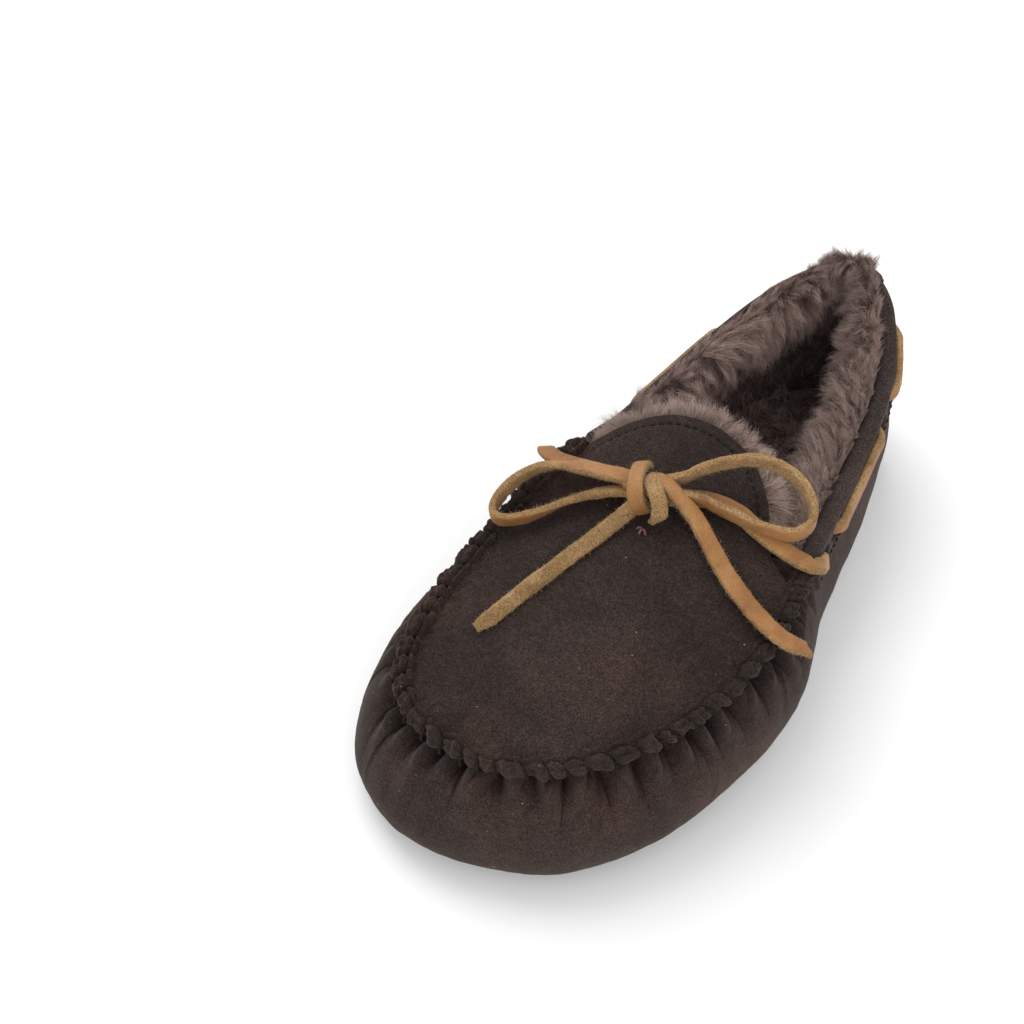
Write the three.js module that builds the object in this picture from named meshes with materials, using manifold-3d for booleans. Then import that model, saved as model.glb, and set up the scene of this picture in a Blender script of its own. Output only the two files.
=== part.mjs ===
// A shearling-lined suede moccasin slipper for the left foot.
// Millimetres, +Z up. The toe points to -Y, the heel to +Y, the wearer's outer side to +X.
import * as THREE from 'three';
import Module from 'manifold-3d';
import { mergeVertices } from 'three/addons/utils/BufferGeometryUtils.js';

const wasm = await Module();
wasm.setup();

// ---- driving dimensions -------------------------------------------------------------------

const GAP = 0.3;              // clearance between touching pieces
const SUEDE = 1.6;            // suede thickness
const OUTSOLE_TOP = 5;        // the rubber stands on the floor and is this thick
const OUTSOLE_INSET = 5;      // the suede bulges past the rubber by this much
const LASTING_INSET = 8;      // how far the suede wall turns in on top of the rubber
const BOARD_BASE = 7.4;       // underside of the lasting board
const BOARD_THICKNESS = 2;
const FOAM_THICKNESS = 5;
const FLEECE_BED_THICKNESS = 7;
const FOOTBED_INSET = 14.2;
const COUNTER_THICKNESS = 1.4;
const LINING_FACE = 3.7;      // depth of the lining's back behind the suede's face
const LINING_DEPTH = 10;      // depth of the fleece's surface behind the suede's face
const BAND_FOOT = 0.8;        // the collar band starts this far up the wall
const LACE_WIDTH = 4.4;
const LACE_THICKNESS = 2.2;
const LACE_LINE = 0.915;      // height of the lace on the wall, as a share of the wall
const HINGE_Y = 4;            // the tongue bends here
const BEND_HALF = 0.7;        // half of the room left for the bend
const STITCH_PITCH = 7;       // along the puckered seam

// The plug's top face: a long dome that falls towards the toe and curls up at the tongue.
const DOME = { height: 67, slope: 0.17, sag: 0.0003, cross: 0.0036, middle: 3, curl: 0.0035 };

function domeHeight(x, y) {
  const lengthwise = DOME.height + DOME.slope * y - DOME.sag * y * y;
  const across = DOME.cross * (x - DOME.middle) ** 2;
  const curl = y > 0 ? DOME.curl * y * y : 0;
  return lengthwise - across + curl;
}

// ---- the wall of the shoe -----------------------------------------------------------------

// One row for each station round the shoe, clockwise from the heel seen from above:
// the wall's widest point in plan, then the top edge. A row with no height lies on the dome.
const STATIONS = [
  { wide: [2, 129], rim: [1, 122, 77] },
  { wide: [18, 125], rim: [14, 115, 74] },
  { wide: [30, 112], rim: [26, 100, 66] },
  { wide: [37, 94], rim: [33, 82, 60] },
  { wide: [43, 72], rim: [37.5, 62, 56] },
  { wide: [48, 48], rim: [41.5, 42, 54.5] },
  { wide: [54, 26], rim: [45.5, 22, 56.5] },
  { wide: [59.5, 4], rim: [49.5, 4] },
  { wide: [62.5, -20], rim: [53, -18] },
  { wide: [60.5, -50], rim: [51, -42] },
  { wide: [52, -81], rim: [43.5, -66] },
  { wide: [37, -104], rim: [30, -87] },
  { wide: [14, -119.5], rim: [12, -101] },
  { wide: [-9, -125.5], rim: [-8, -105.5] },
  { wide: [-30, -121.5], rim: [-26, -102.5] },
  { wide: [-45.5, -109], rim: [-38, -91] },
  { wide: [-53, -86], rim: [-43.5, -71] },
  { wide: [-53, -57], rim: [-44.5, -48] },
  { wide: [-49, -27], rim: [-44, -24] },
  { wide: [-44, 2], rim: [-41.5, 2] },
  { wide: [-40.5, 28], rim: [-39, 24, 57] },
  { wide: [-39, 55], rim: [-37.5, 50, 56.5] },
  { wide: [-37, 80], rim: [-34, 76, 60] },
  { wide: [-31, 104], rim: [-26, 100, 68] },
  { wide: [-17, 122], rim: [-14, 117, 75] },
];
const THROAT_LATERAL = 7 / STATIONS.length;
const THROAT_MEDIAL = 19 / STATIONS.length;

function closedCurve(points) {
  return new THREE.CatmullRomCurve3(points, true, 'catmullrom', 0.5);
}

const wideCurve = closedCurve(STATIONS.map(({ wide }) => new THREE.Vector3(wide[0], wide[1], 0)));
const rimCurve = closedCurve(STATIONS.map(({ rim }) => {
  const height = rim[2] ?? domeHeight(rim[0], rim[1]) - GAP;
  return new THREE.Vector3(rim[0], rim[1], height);
}));

const wrap = (u) => ((u % 1) + 1) % 1;

function outwardInPlan(u) {
  const tangent = wideCurve.getTangent(wrap(u));
  return new THREE.Vector3(-tangent.y, tangent.x, 0).normalize();
}

function smoothStep(value, low, high) {
  const t = THREE.MathUtils.clamp((value - low) / (high - low), 0, 1);
  return t * t * (3 - 2 * t);
}

// The wall's outer face: share v of the way from the turned-in foot (0) to the top edge (1).
function wallFace(u, v) {
  const wide = wideCurve.getPoint(wrap(u));
  const rim = rimCurve.getPoint(wrap(u));
  const outward = outwardInPlan(u);
  const forefoot = smoothStep(-rim.y, -30, 20);
  const bulge = THREE.MathUtils.lerp(5, 9.5, forefoot);
  const shoulder = THREE.MathUtils.lerp(1.5, 12, forefoot);
  const drop = THREE.MathUtils.lerp(20, 6, forefoot);
  const foot = wide.clone().addScaledVector(outward, -LASTING_INSET).setZ(OUTSOLE_TOP + GAP);
  const low = wide.clone().addScaledVector(outward, bulge).setZ(OUTSOLE_TOP - 1);
  const high = rim.clone().addScaledVector(outward, shoulder);
  high.z -= drop;
  return new THREE.CubicBezierCurve3(foot, low, high, rim).getPoint(v);
}

// A point at a depth behind the wall's outer face; a negative depth stands proud of it.
function wallPoint(u, v, depth) {
  const step = 0.004;
  const along = wallFace(u + step, v).sub(wallFace(u - step, v));
  const up = wallFace(u, v + step).sub(wallFace(u, v - step));
  const normal = up.cross(along).normalize();
  return wallFace(u, v).addScaledVector(normal, -depth);
}

// ---- solids -------------------------------------------------------------------------------

// A solid swept through rings of points; it closes on itself, or gets flat ends.
function sweepRings(rings, closed, capPlan) {
  const size = rings[0].length;
  const positions = rings.flat().flatMap((p) => [p.x, p.y, p.z]);
  const indices = [];
  const last = closed ? rings.length : rings.length - 1;
  for (let ring = 0; ring < last; ring += 1) {
    const next = (ring + 1) % rings.length;
    for (let i = 0; i < size; i += 1) {
      const j = (i + 1) % size;
      const [a, b] = [ring * size + i, ring * size + j];
      const [c, d] = [next * size + i, next * size + j];
      indices.push(a, c, b, b, c, d);
    }
  }
  if (!closed) {
    const isClockwise = THREE.ShapeUtils.isClockWise(capPlan);
    const top = (rings.length - 1) * size;
    for (const ear of THREE.ShapeUtils.triangulateShape(capPlan, [])) {
      const corners = ear.map((i) => capPlan[i]);
      const agrees = THREE.ShapeUtils.isClockWise(corners) === isClockwise;
      const [a, b, c] = agrees ? ear : [ear[0], ear[2], ear[1]];
      indices.push(a, b, c, top + a, top + c, top + b);
    }
  }
  const geometry = new THREE.BufferGeometry();
  geometry.setAttribute('position', new THREE.Float32BufferAttribute(positions, 3));
  geometry.setIndex(indices);
  return facingOut(geometry);
}

function signedVolume(geometry) {
  const position = geometry.getAttribute('position');
  const corner = (i) => new THREE.Vector3().fromBufferAttribute(position, geometry.index.getX(i));
  let volume = 0;
  for (let i = 0; i < geometry.index.count; i += 3) {
    volume += corner(i).dot(corner(i + 1).cross(corner(i + 2))) / 6;
  }
  return volume;
}

function facingOut(geometry) {
  if (signedVolume(geometry) < 0) {
    const flipped = [];
    for (let i = 0; i < geometry.index.count; i += 3) {
      flipped.push(geometry.index.getX(i), geometry.index.getX(i + 2), geometry.index.getX(i + 1));
    }
    geometry.setIndex(flipped);
  }
  return geometry;
}

// A solid that follows the wall: section(u) gives a closed outline of [v, depth] pairs.
function wallSolid(from, to, steps, section) {
  const closed = to - from === 1;
  const rings = [];
  for (let i = 0; i < steps + (closed ? 0 : 1); i += 1) {
    const u = from + ((to - from) * i) / steps;
    rings.push(section(u).map(([v, depth]) => wallPoint(u, v, depth)));
  }
  const plan = section(from).map(([v, depth]) => new THREE.Vector2(v * 60, depth));
  return sweepRings(rings, closed, plan);
}

// A strip of even thickness up the wall, from v = low to v = high.
function stripSection(low, high, rows, face, back) {
  const heights = Array.from({ length: rows + 1 }, (_, i) => low + ((high - low) * i) / rows);
  const front = heights.map((v) => [v, face]);
  const rear = heights.map((v) => [v, back]).reverse();
  return front.concat(rear);
}

// A round or flat tube along points; side(i) gives the direction of its width at a point.
function tube(points, width, thickness, sides, side) {
  const curve = new THREE.CatmullRomCurve3(points);
  const steps = points.length - 1;
  const ring = Array.from({ length: sides }, (_, i) => {
    const angle = ((i + 0.5) / sides) * Math.PI * 2;
    return new THREE.Vector2(Math.cos(angle) * width / 2, Math.sin(angle) * thickness / 2);
  });
  const rings = [];
  for (let i = 0; i <= steps; i += 1) {
    const tangent = curve.getTangent(i / steps);
    const across = side(i).clone();
    across.addScaledVector(tangent, -across.dot(tangent)).normalize();
    const up = new THREE.Vector3().crossVectors(tangent, across);
    const centre = points[i];
    rings.push(ring.map((p) => centre.clone().addScaledVector(across, p.x).addScaledVector(up, p.y)));
  }
  return sweepRings(rings, false, ring);
}

// A flat plate from a plan outline, between two heights.
function plate(outline, base, thickness) {
  const shape = new THREE.Shape(outline);
  const options = { depth: thickness, bevelEnabled: false, curveSegments: 1 };
  return new THREE.ExtrudeGeometry(shape, options).translate(0, 0, base);
}

function soleOutline(inset, count = 44) {
  return Array.from({ length: count }, (_, i) => {
    const u = i / count;
    const p = wideCurve.getPoint(u).addScaledVector(outwardInPlan(u), -inset);
    return new THREE.Vector2(p.x, p.y);
  });
}

// A domed sheet under the plug's top face, from a plan outline that its centre can see whole.
function domedSheet(outline, centre, top, bottom, shares = [0.3, 0.6, 0.82, 1]) {
  const positions = [];
  const indices = [];
  const count = outline.length;
  for (const drop of [top, bottom]) {
    positions.push(centre.x, centre.y, domeHeight(centre.x, centre.y) - drop);
    for (const share of shares) {
      for (const p of outline) {
        const q = centre.clone().lerp(p, share);
        positions.push(q.x, q.y, domeHeight(q.x, q.y) - drop);
      }
    }
  }
  const layer = 1 + shares.length * count;
  for (const [base, turn] of [[0, 0], [layer, 1]]) {
    const face = (a, b, c) => indices.push(...(turn ? [a, c, b] : [a, b, c]));
    for (let i = 0; i < count; i += 1) {
      const j = (i + 1) % count;
      face(base, base + 1 + i, base + 1 + j);
      for (let ring = 1; ring < shares.length; ring += 1) {
        const [inner, outer] = [base + 1 + (ring - 1) * count, base + 1 + ring * count];
        face(inner + i, outer + i, outer + j);
        face(inner + i, outer + j, inner + j);
      }
    }
  }
  const edge = 1 + (shares.length - 1) * count;
  for (let i = 0; i < count; i += 1) {
    const j = (i + 1) % count;
    indices.push(edge + i, layer + edge + i, edge + j);
    indices.push(edge + j, layer + edge + i, layer + edge + j);
  }
  const geometry = new THREE.BufferGeometry();
  geometry.setAttribute('position', new THREE.Float32BufferAttribute(positions, 3));
  geometry.setIndex(indices);
  return facingOut(geometry);
}

// ---- cutting ------------------------------------------------------------------------------

function toSolid(geometry) {
  const bare = new THREE.BufferGeometry();
  bare.setAttribute('position', geometry.getAttribute('position').clone());
  if (geometry.index) bare.setIndex(geometry.index.clone());
  const merged = mergeVertices(bare, 1e-4);
  return new wasm.Manifold(new wasm.Mesh({
    numProp: 3,
    vertProperties: Float32Array.from(merged.getAttribute('position').array),
    triVerts: Uint32Array.from(merged.index.array),
  }));
}

function fromSolid(solid) {
  const mesh = solid.getMesh();
  const geometry = new THREE.BufferGeometry();
  geometry.setAttribute('position', new THREE.Float32BufferAttribute(mesh.vertProperties, 3));
  geometry.setIndex(Array.from(mesh.triVerts));
  return geometry;
}

function cut(geometry, cutters) {
  let solid = toSolid(geometry);
  for (const cutter of cutters) solid = solid.subtract(toSolid(cutter));
  return fromSolid(solid);
}

// The part of a sheet in front of the bend, or behind it, clear of the bend by some room.
function halfOf(geometry, isRear, room = BEND_HALF) {
  const size = 400;
  const offset = isRear ? HINGE_Y + room + size / 2 : HINGE_Y - room - size / 2;
  const box = new THREE.BoxGeometry(size, size, size).translate(0, offset, 0);
  return fromSolid(toSolid(geometry).intersect(toSolid(box)));
}

// ---- outlines of the plug and the tongue --------------------------------------------------

const TONGUE_EDGE = [
  [37.5, 1.5], [32, 8.5], [25, 17.5], [13, 25.5], [-3, 28.5], [-18, 25.5], [-29, 17], [-35.5, 7], [-37.5, 1.5],
];
const PLUG_CENTRE = new THREE.Vector2(0, -38);

// The seam part of the outline, moved in from the wall's rim.
function seamLine(inset, count) {
  const from = THROAT_LATERAL + 0.012;
  const to = THROAT_MEDIAL - 0.012;
  return Array.from({ length: count }, (_, i) => {
    const u = from + ((to - from) * i) / (count - 1);
    const p = rimCurve.getPoint(u);
    const tangent = rimCurve.getTangent(u);
    const inward = new THREE.Vector2(tangent.y, -tangent.x).normalize();
    return new THREE.Vector2(p.x, p.y).addScaledVector(inward, inset);
  });
}

function tongueLine(grow, count) {
  const middle = new THREE.Vector2(-1, 0);
  const curve = new THREE.SplineCurve(TONGUE_EDGE.map(([x, y]) => {
    const p = new THREE.Vector2(x, y);
    const away = p.clone().sub(middle).normalize();
    return p.addScaledVector(away, grow);
  }));
  return curve.getPoints(count - 1);
}

function plugOutline(seamInset, tongueGrow) {
  return seamLine(seamInset, 40).concat(tongueLine(tongueGrow, 17).reverse());
}

const group = new THREE.Group();
const COLOURS = {
  rubber: [0x2a2624, 0.8], board: [0x9a8263, 0.9], foam: [0xcfc4b0, 0.95], fleece: [0x6e5a54, 1],
  suede: [0x43352f, 0.95], thread: [0x3b302c, 0.6], lace: [0xb98350, 0.75], tack: [0x8a5346, 0.8],
};

function add(name, geometry, finish) {
  const [color, roughness] = COLOURS[finish];
  const mesh = new THREE.Mesh(geometry, new THREE.MeshStandardMaterial({ color, roughness, metalness: 0 }));
  mesh.name = name;
  group.add(mesh);
}

// ---- the bottom of the shoe ---------------------------------------------------------------

// Cross grooves under the ball and the heel; the waist between them stays flat.
function addOutsole() {
  const depth = 1.6;
  const width = 3;
  const grooves = [];
  const pitch = 9;
  for (const [from, count, half] of [[-98, 9, 33], [56, 6, 22]]) {
    for (let i = 0; i < count; i += 1) {
      const y = from + i * pitch;
      const taper = Math.min(1, 0.55 + 0.18 * Math.min(i, count - 1 - i));
      const box = new THREE.BoxGeometry(half * 2 * taper, width, depth * 2);
      grooves.push(box.translate(from < 0 ? 2 : 3, y, 0));
    }
  }
  add('outsole', cut(plate(soleOutline(OUTSOLE_INSET), 0, OUTSOLE_TOP), grooves), 'rubber');
}

function addFootbed() {
  const fillerBase = OUTSOLE_TOP + GAP;
  add('bottom_filler', plate(soleOutline(LASTING_INSET + 1.5), fillerBase, BOARD_BASE - GAP - fillerBase), 'foam');
  add('lasting_board', plate(soleOutline(LASTING_INSET), BOARD_BASE, BOARD_THICKNESS), 'board');
  const foamBase = BOARD_BASE + BOARD_THICKNESS + GAP;
  add('footbed_foam', plate(soleOutline(FOOTBED_INSET), foamBase, FOAM_THICKNESS), 'foam');
  const fleeceBase = foamBase + FOAM_THICKNESS + GAP;
  add('footbed_fleece', plate(soleOutline(FOOTBED_INSET), fleeceBase, FLEECE_BED_THICKNESS), 'fleece');
}

// ---- the upper ----------------------------------------------------------------------------

// The wall reaches the rim along the seam, and stops under the collar band behind the throat.
function wallTop(u) {
  const rise = smoothStep(u, THROAT_LATERAL - 0.004, THROAT_LATERAL + 0.008);
  const fall = smoothStep(u, THROAT_MEDIAL - 0.008, THROAT_MEDIAL + 0.004);
  return THREE.MathUtils.lerp(BAND_FOOT - 0.006, 1, rise - fall);
}

function addWall() {
  add('vamp_wall', wallSolid(0, 1, 96, (u) => stripSection(0, wallTop(u), 7, 0, SUEDE)), 'suede');
  const counter = () => stripSection(0.12, 0.76, 5, SUEDE + GAP, SUEDE + GAP + COUNTER_THICKNESS);
  add('heel_counter', wallSolid(-0.085, 0.085, 14, counter), 'board');
  const patch = () => stripSection(0.14, 1, 7, -2.8, -1.5);
  add('heel_patch', wallSolid(-0.016, 0.016, 6, patch), 'suede');
}

// The fleece lies thick behind the wall and swells out over the top edge of the collar.
function quarterSection(u) {
  const toThroat = Math.min(Math.abs(u - THROAT_LATERAL), Math.abs(u - THROAT_MEDIAL));
  const full = smoothStep(toThroat, 0.01, 0.09);
  const roll = THREE.MathUtils.lerp(8, 14, full);
  const inner = THREE.MathUtils.lerp(8, LINING_DEPTH, full);
  const face = [[0.2, LINING_FACE], [0.5, LINING_FACE], [0.78, LINING_FACE], [0.84, 5], [1, 5], [1.07, 5.4]];
  const crown = [[1.105, (5.4 + roll) / 2], [1.06, roll - 0.6]];
  const back = [[0.96, roll], [0.85, (roll + inner) / 2 + 1], [0.7, inner], [0.45, inner], [0.2, inner]];
  return face.concat(crown, back);
}

function addLinings() {
  add('quarter_lining_lateral', wallSolid(0.004, THROAT_LATERAL - 0.016, 26, quarterSection), 'fleece');
  add('quarter_lining_medial', wallSolid(THROAT_MEDIAL + 0.016, 0.996, 26, quarterSection), 'fleece');
  const vamp = () => stripSection(0.2, 0.8, 6, SUEDE + 2 * GAP, 8);
  add('vamp_lining', wallSolid(THROAT_LATERAL, THROAT_MEDIAL, 46, vamp), 'fleece');
}

// ---- the collar band and its lace slots ---------------------------------------------------

// Places round the wall where the lace dives in or comes out, heel side first.
const SLOTS_LATERAL = [0.05, 0.1, 0.128, 0.215, 0.243];
const MEDIAL_SHARE = (1 - THROAT_MEDIAL) / THROAT_LATERAL;
const SLOTS_MEDIAL = SLOTS_LATERAL.map((u) => 1 - u * MEDIAL_SHARE);
const SLOT_HALF = 0.0105;

function slotCutter(u) {
  const half = 0.05;
  const section = () => stripSection(LACE_LINE - half, LACE_LINE + half, 1, -4, 5);
  return wallSolid(u - SLOT_HALF, u + SLOT_HALF, 2, section);
}

function addCollarBand() {
  const face = -0.9;
  const band = () => stripSection(BAND_FOOT, 1, 3, face, SUEDE + GAP);
  const lateral = wallSolid(0.003, THROAT_LATERAL - 0.012, 34, band);
  const medial = wallSolid(THROAT_MEDIAL + 0.012, 0.997, 34, band);
  add('collar_band_lateral', cut(lateral, SLOTS_LATERAL.map(slotCutter)), 'suede');
  add('collar_band_medial', cut(medial, SLOTS_MEDIAL.map(slotCutter)), 'suede');
}

// ---- the plug and the tongue --------------------------------------------------------------

const PLUG_INSET = 2.2;
const PLUG_LINING_INSET = 12;
const TONGUE_LINING = 5;
const TONGUE_LINING_ROOM = 3.2;

function addPlug() {
  const suede = domedSheet(plugOutline(PLUG_INSET, 0), PLUG_CENTRE, 0, SUEDE);
  add('plug', halfOf(suede, false), 'suede');
  add('tongue', halfOf(suede, true), 'suede');
  const top = SUEDE + GAP;
  const lining = domedSheet(plugOutline(PLUG_LINING_INSET, -3), PLUG_CENTRE, top, top + 6);
  add('plug_lining', halfOf(lining, false), 'fleece');
  const edge = tongueLine(0, 17).map((p) => new THREE.Vector2(p.x * 0.88, p.y * 1.05));
  const whole = seamLine(PLUG_LINING_INSET, 40).concat(edge.reverse());
  const fringe = domedSheet(whole, PLUG_CENTRE, top, top + TONGUE_LINING);
  add('tongue_lining', halfOf(fringe, true, TONGUE_LINING_ROOM), 'fleece');
}

// ---- stitching ----------------------------------------------------------------------------

// One thick thread that whips over the raised edges of the wall and the plug.
function addWhipStitch() {
  const from = THROAT_LATERAL + 0.016;
  const to = THROAT_MEDIAL - 0.016;
  const length = 275;
  const stitches = Math.round(length / STITCH_PITCH);
  const lift = 1.5;
  const points = [];
  for (let i = 0; i < stitches * 4; i += 1) {
    const u = from + ((to - from) * i) / (stitches * 4 - 1);
    const rim = rimCurve.getPoint(u);
    const tangent = rimCurve.getTangent(u);
    const inward = new THREE.Vector3(tangent.y, -tangent.x, 0).normalize();
    const phase = i % 4;
    if (phase === 0) {
      points.push(wallPoint(u, 0.93, -lift));
    } else if (phase === 2) {
      const p = rim.clone().addScaledVector(inward, PLUG_INSET + 1.8);
      points.push(p.setZ(domeHeight(p.x, p.y) + lift));
    } else {
      const p = rim.clone().addScaledVector(inward, 0.6);
      points.push(p.setZ(p.z + 2.1));
    }
  }
  const up = new THREE.Vector3(0, 0, 1);
  add('plug_whip_stitch', tube(points, 1.8, 1.8, 5, () => up), 'thread');
}

function addTopStitching() {
  const up = new THREE.Vector3(0, 0, 1);
  const edge = tongueLine(-3, 19).filter((p) => p.y > HINGE_Y + 2);
  const lift = 0.35 + GAP;
  const row = edge.map((p) => new THREE.Vector3(p.x, p.y, domeHeight(p.x, p.y) + lift));
  add('tongue_stitching', tube(row, 0.7, 0.7, 6, () => up), 'thread');
  for (const [side, from, to] of [['lateral', 0.02, 0.262], ['medial', 0.98, 0.778]]) {
    const points = Array.from({ length: 31 }, (_, i) => {
      return wallPoint(from + ((to - from) * i) / 30, BAND_FOOT + 0.022, -1.6);
    });
    add(`collar_stitching_${side}`, tube(points, 0.8, 0.8, 6, () => up), 'thread');
  }
}

// ---- the lace -----------------------------------------------------------------------------

const LACE_SIDES = 8;
const UP = new THREE.Vector3(0, 0, 1);
const toVectors = (points) => points.map((p) => new THREE.Vector3(...p));

// Depth of the lace behind the wall's face: proud between slots, hidden behind the band at hops.
const LACE_PROUD = -2.3;
const LACE_HIDDEN = 3.4;
const HOP_EASE = 0.0068;

function laceDepth(u) {
  const along = u <= 0.5 ? u : (1 - u) / MEDIAL_SHARE;
  const [heel, hopStart, hopEnd, frontStart, frontEnd] = SLOTS_LATERAL;
  const pass = (slot) => smoothStep(along, slot - HOP_EASE, slot + HOP_EASE);
  const proud = pass(heel) - pass(hopStart) + pass(hopEnd) - pass(frontStart) + pass(frontEnd);
  return THREE.MathUtils.lerp(LACE_HIDDEN, LACE_PROUD, proud);
}

// In front of the last slot the lace climbs towards the top of the collar.
function laceLine(u) {
  const along = u <= 0.5 ? u : (1 - u) / MEDIAL_SHARE;
  return LACE_LINE + 0.06 * smoothStep(along, 0.248, 0.264);
}

// The direction across a level path, at each of its points.
function flatSides(route) {
  const points = toVectors(route);
  return points.map((_, i) => {
    const [from, to] = [points[Math.max(i - 1, 0)], points[Math.min(i + 1, points.length - 1)]];
    return new THREE.Vector3().crossVectors(UP, to.clone().sub(from)).normalize();
  });
}

// The lace's leads run from the knot, over the throat's corners, to the front slots.
const LEAD_LATERAL = [
  [9, 0, 68.3], [15, 0, 68.2], [22, -0.8, 68], [29, -1.6, 67.8], [36, 1, 67.2],
  [43, 4.2, 66.4], [49.3, 7.2, 64],
];
const LEAD_MEDIAL = [
  [-47.6, 2, 60.8], [-47.6, -3.5, 63.4], [-44.5, -8, 65.4], [-38.5, -9.6, 66.6], [-32.5, -8.3, 67],
  [-24, -5.7, 67.6], [-17, -3.6, 68],
];

// The stretch that the shoe holds all the way, from the knot round the heel and back.
function addCollarLace() {
  const lateralFront = 0.262;
  const medialFront = 1 - lateralFront * MEDIAL_SHARE;
  const steps = 60;
  const points = toVectors(LEAD_LATERAL);
  const sides = flatSides(LEAD_LATERAL);
  for (let i = 0; i <= steps; i += 1) {
    const u = wrap(lateralFront + ((medialFront - 1 - lateralFront) * i) / steps);
    const line = laceLine(u);
    const [low, high] = [wallPoint(u, line - 0.02, 0), wallPoint(u, line + 0.02, 0)];
    points.push(wallPoint(u, line, laceDepth(u)));
    sides.push(high.sub(low).normalize());
  }
  points.push(...toVectors(LEAD_MEDIAL));
  sides.push(...flatSides(LEAD_MEDIAL));
  add('lace_collar', tube(points, LACE_WIDTH, LACE_THICKNESS, LACE_SIDES, (i) => sides[i]), 'lace');
}

// The bow's free stretches, each from the knot outwards.
const LOOP_LEFT = [
  [-14.3, -6.3, 73], [-20.6, -7.9, 72], [-28.2, -9.9, 70.5], [-35.5, -12.6, 69], [-41, -16.3, 67],
  [-44.7, -22.4, 65], [-46.3, -28.4, 62.8], [-46.1, -33.8, 61], [-44.3, -37, 60.3], [-40.7, -37.1, 60.2],
  [-35.8, -33.4, 61], [-31.1, -27.4, 62.5], [-27.4, -21.6, 64.2], [-23, -16.6, 66], [-17.4, -11.9, 68],
  [-14.5, -10.2, 69],
];
const LOOP_RIGHT = [
  [2.6, 3.6, 76], [4.9, 6.8, 77.5], [9.1, 10.8, 80], [13.6, 14.2, 82], [18, 17.3, 83],
  [23.8, 19.8, 83], [30.7, 20.6, 82], [36.5, 20, 79.5], [40.9, 17.7, 76.5], [43.1, 14.3, 74],
  [42.2, 10.7, 72.3], [39.6, 7.8, 71.5], [34.5, 5.8, 71.3], [28.4, 3.8, 71.6], [22.3, 3, 72.2],
  [16, 1.7, 73], [11.2, 1.1, 73.2],
];
const TAIL_LEFT = [
  [-6.4, -13.3, 69], [-7.9, -17.5, 67], [-9.5, -22.4, 65.2], [-11.1, -28.2, 63.8], [-12.2, -32, 63],
  [-13.3, -35.7, 62.2], [-14.3, -39.6, 61.4], [-15.3, -43.5, 60.5], [-16.4, -47.3, 59.6], [-17.5, -51, 58.7],
  [-18.6, -54.7, 57.6], [-19.6, -58.4, 56.5], [-20.5, -61.7, 55.6], [-21.4, -65, 54.6], [-23.6, -71.1, 52.9],
];
const TAIL_RIGHT = [
  [6, -4.1, 75], [8.7, -4.4, 73.8], [12.6, -4.8, 71.5], [16.7, -6.4, 69.6], [21.8, -8.7, 67.6],
  [27, -11.3, 66], [32.4, -13.7, 64.8], [38, -15.6, 63.5], [43.3, -17.2, 62.3], [48.7, -18.3, 61.3],
  [52, -18.8, 60.9], [54.7, -19.1, 60.5], [57.2, -18.7, 59.8], [59.5, -17.9, 59], [62.8, -15.6, 57],
];

// A thong that lies flat turns its width across its path; a loop stands on its edge.
function addThong(name, route, isOnEdge) {
  const sides = flatSides(route);
  const side = isOnEdge ? () => UP : (i) => sides[i];
  add(name, tube(toVectors(route), LACE_WIDTH, LACE_THICKNESS, LACE_SIDES, side), 'lace');
}

function addBow() {
  const knot = new THREE.IcosahedronGeometry(1, 3);
  knot.deleteAttribute('normal');
  knot.deleteAttribute('uv');
  knot.scale(8.5, 6, 4.4);
  knot.rotateZ(THREE.MathUtils.degToRad(-31));
  knot.translate(-6, -5, 71.8);
  add('lace_knot', mergeVertices(knot, 1e-4), 'lace');
  addThong('lace_loop_left', LOOP_LEFT, true);
  addThong('lace_loop_right', LOOP_RIGHT, true);
  addThong('lace_tail_left', TAIL_LEFT, false);
  addThong('lace_tail_right', TAIL_RIGHT, false);
  const tack = new THREE.IcosahedronGeometry(1.3, 1);
  tack.deleteAttribute('normal');
  tack.deleteAttribute('uv');
  const [x, y] = [0, -14.8];
  tack.translate(x, y, domeHeight(x, y) + 1.3 + GAP);
  add('lace_tack', mergeVertices(tack, 1e-4), 'tack');
}

addOutsole();
addFootbed();
addWall();
addLinings();
addCollarBand();
addPlug();
addWhipStitch();
addTopStitching();
addCollarLace();
addBow();

// The origin is the middle of the shoe's footprint, measured without the lace.
function centreOnFootprint() {
  const box = new THREE.Box3();
  for (const mesh of group.children) {
    if (!mesh.name.startsWith('lace')) box.expandByObject(mesh);
  }
  const middle = box.getCenter(new THREE.Vector3());
  group.position.set(-middle.x, -middle.y, -box.min.z);
}

centreOnFootprint();

export default group;
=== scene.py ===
"""The looks of a shearling-lined suede moccasin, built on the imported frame."""

import math

import bpy
import numpy as np
from mathutils import Matrix, Vector


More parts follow.
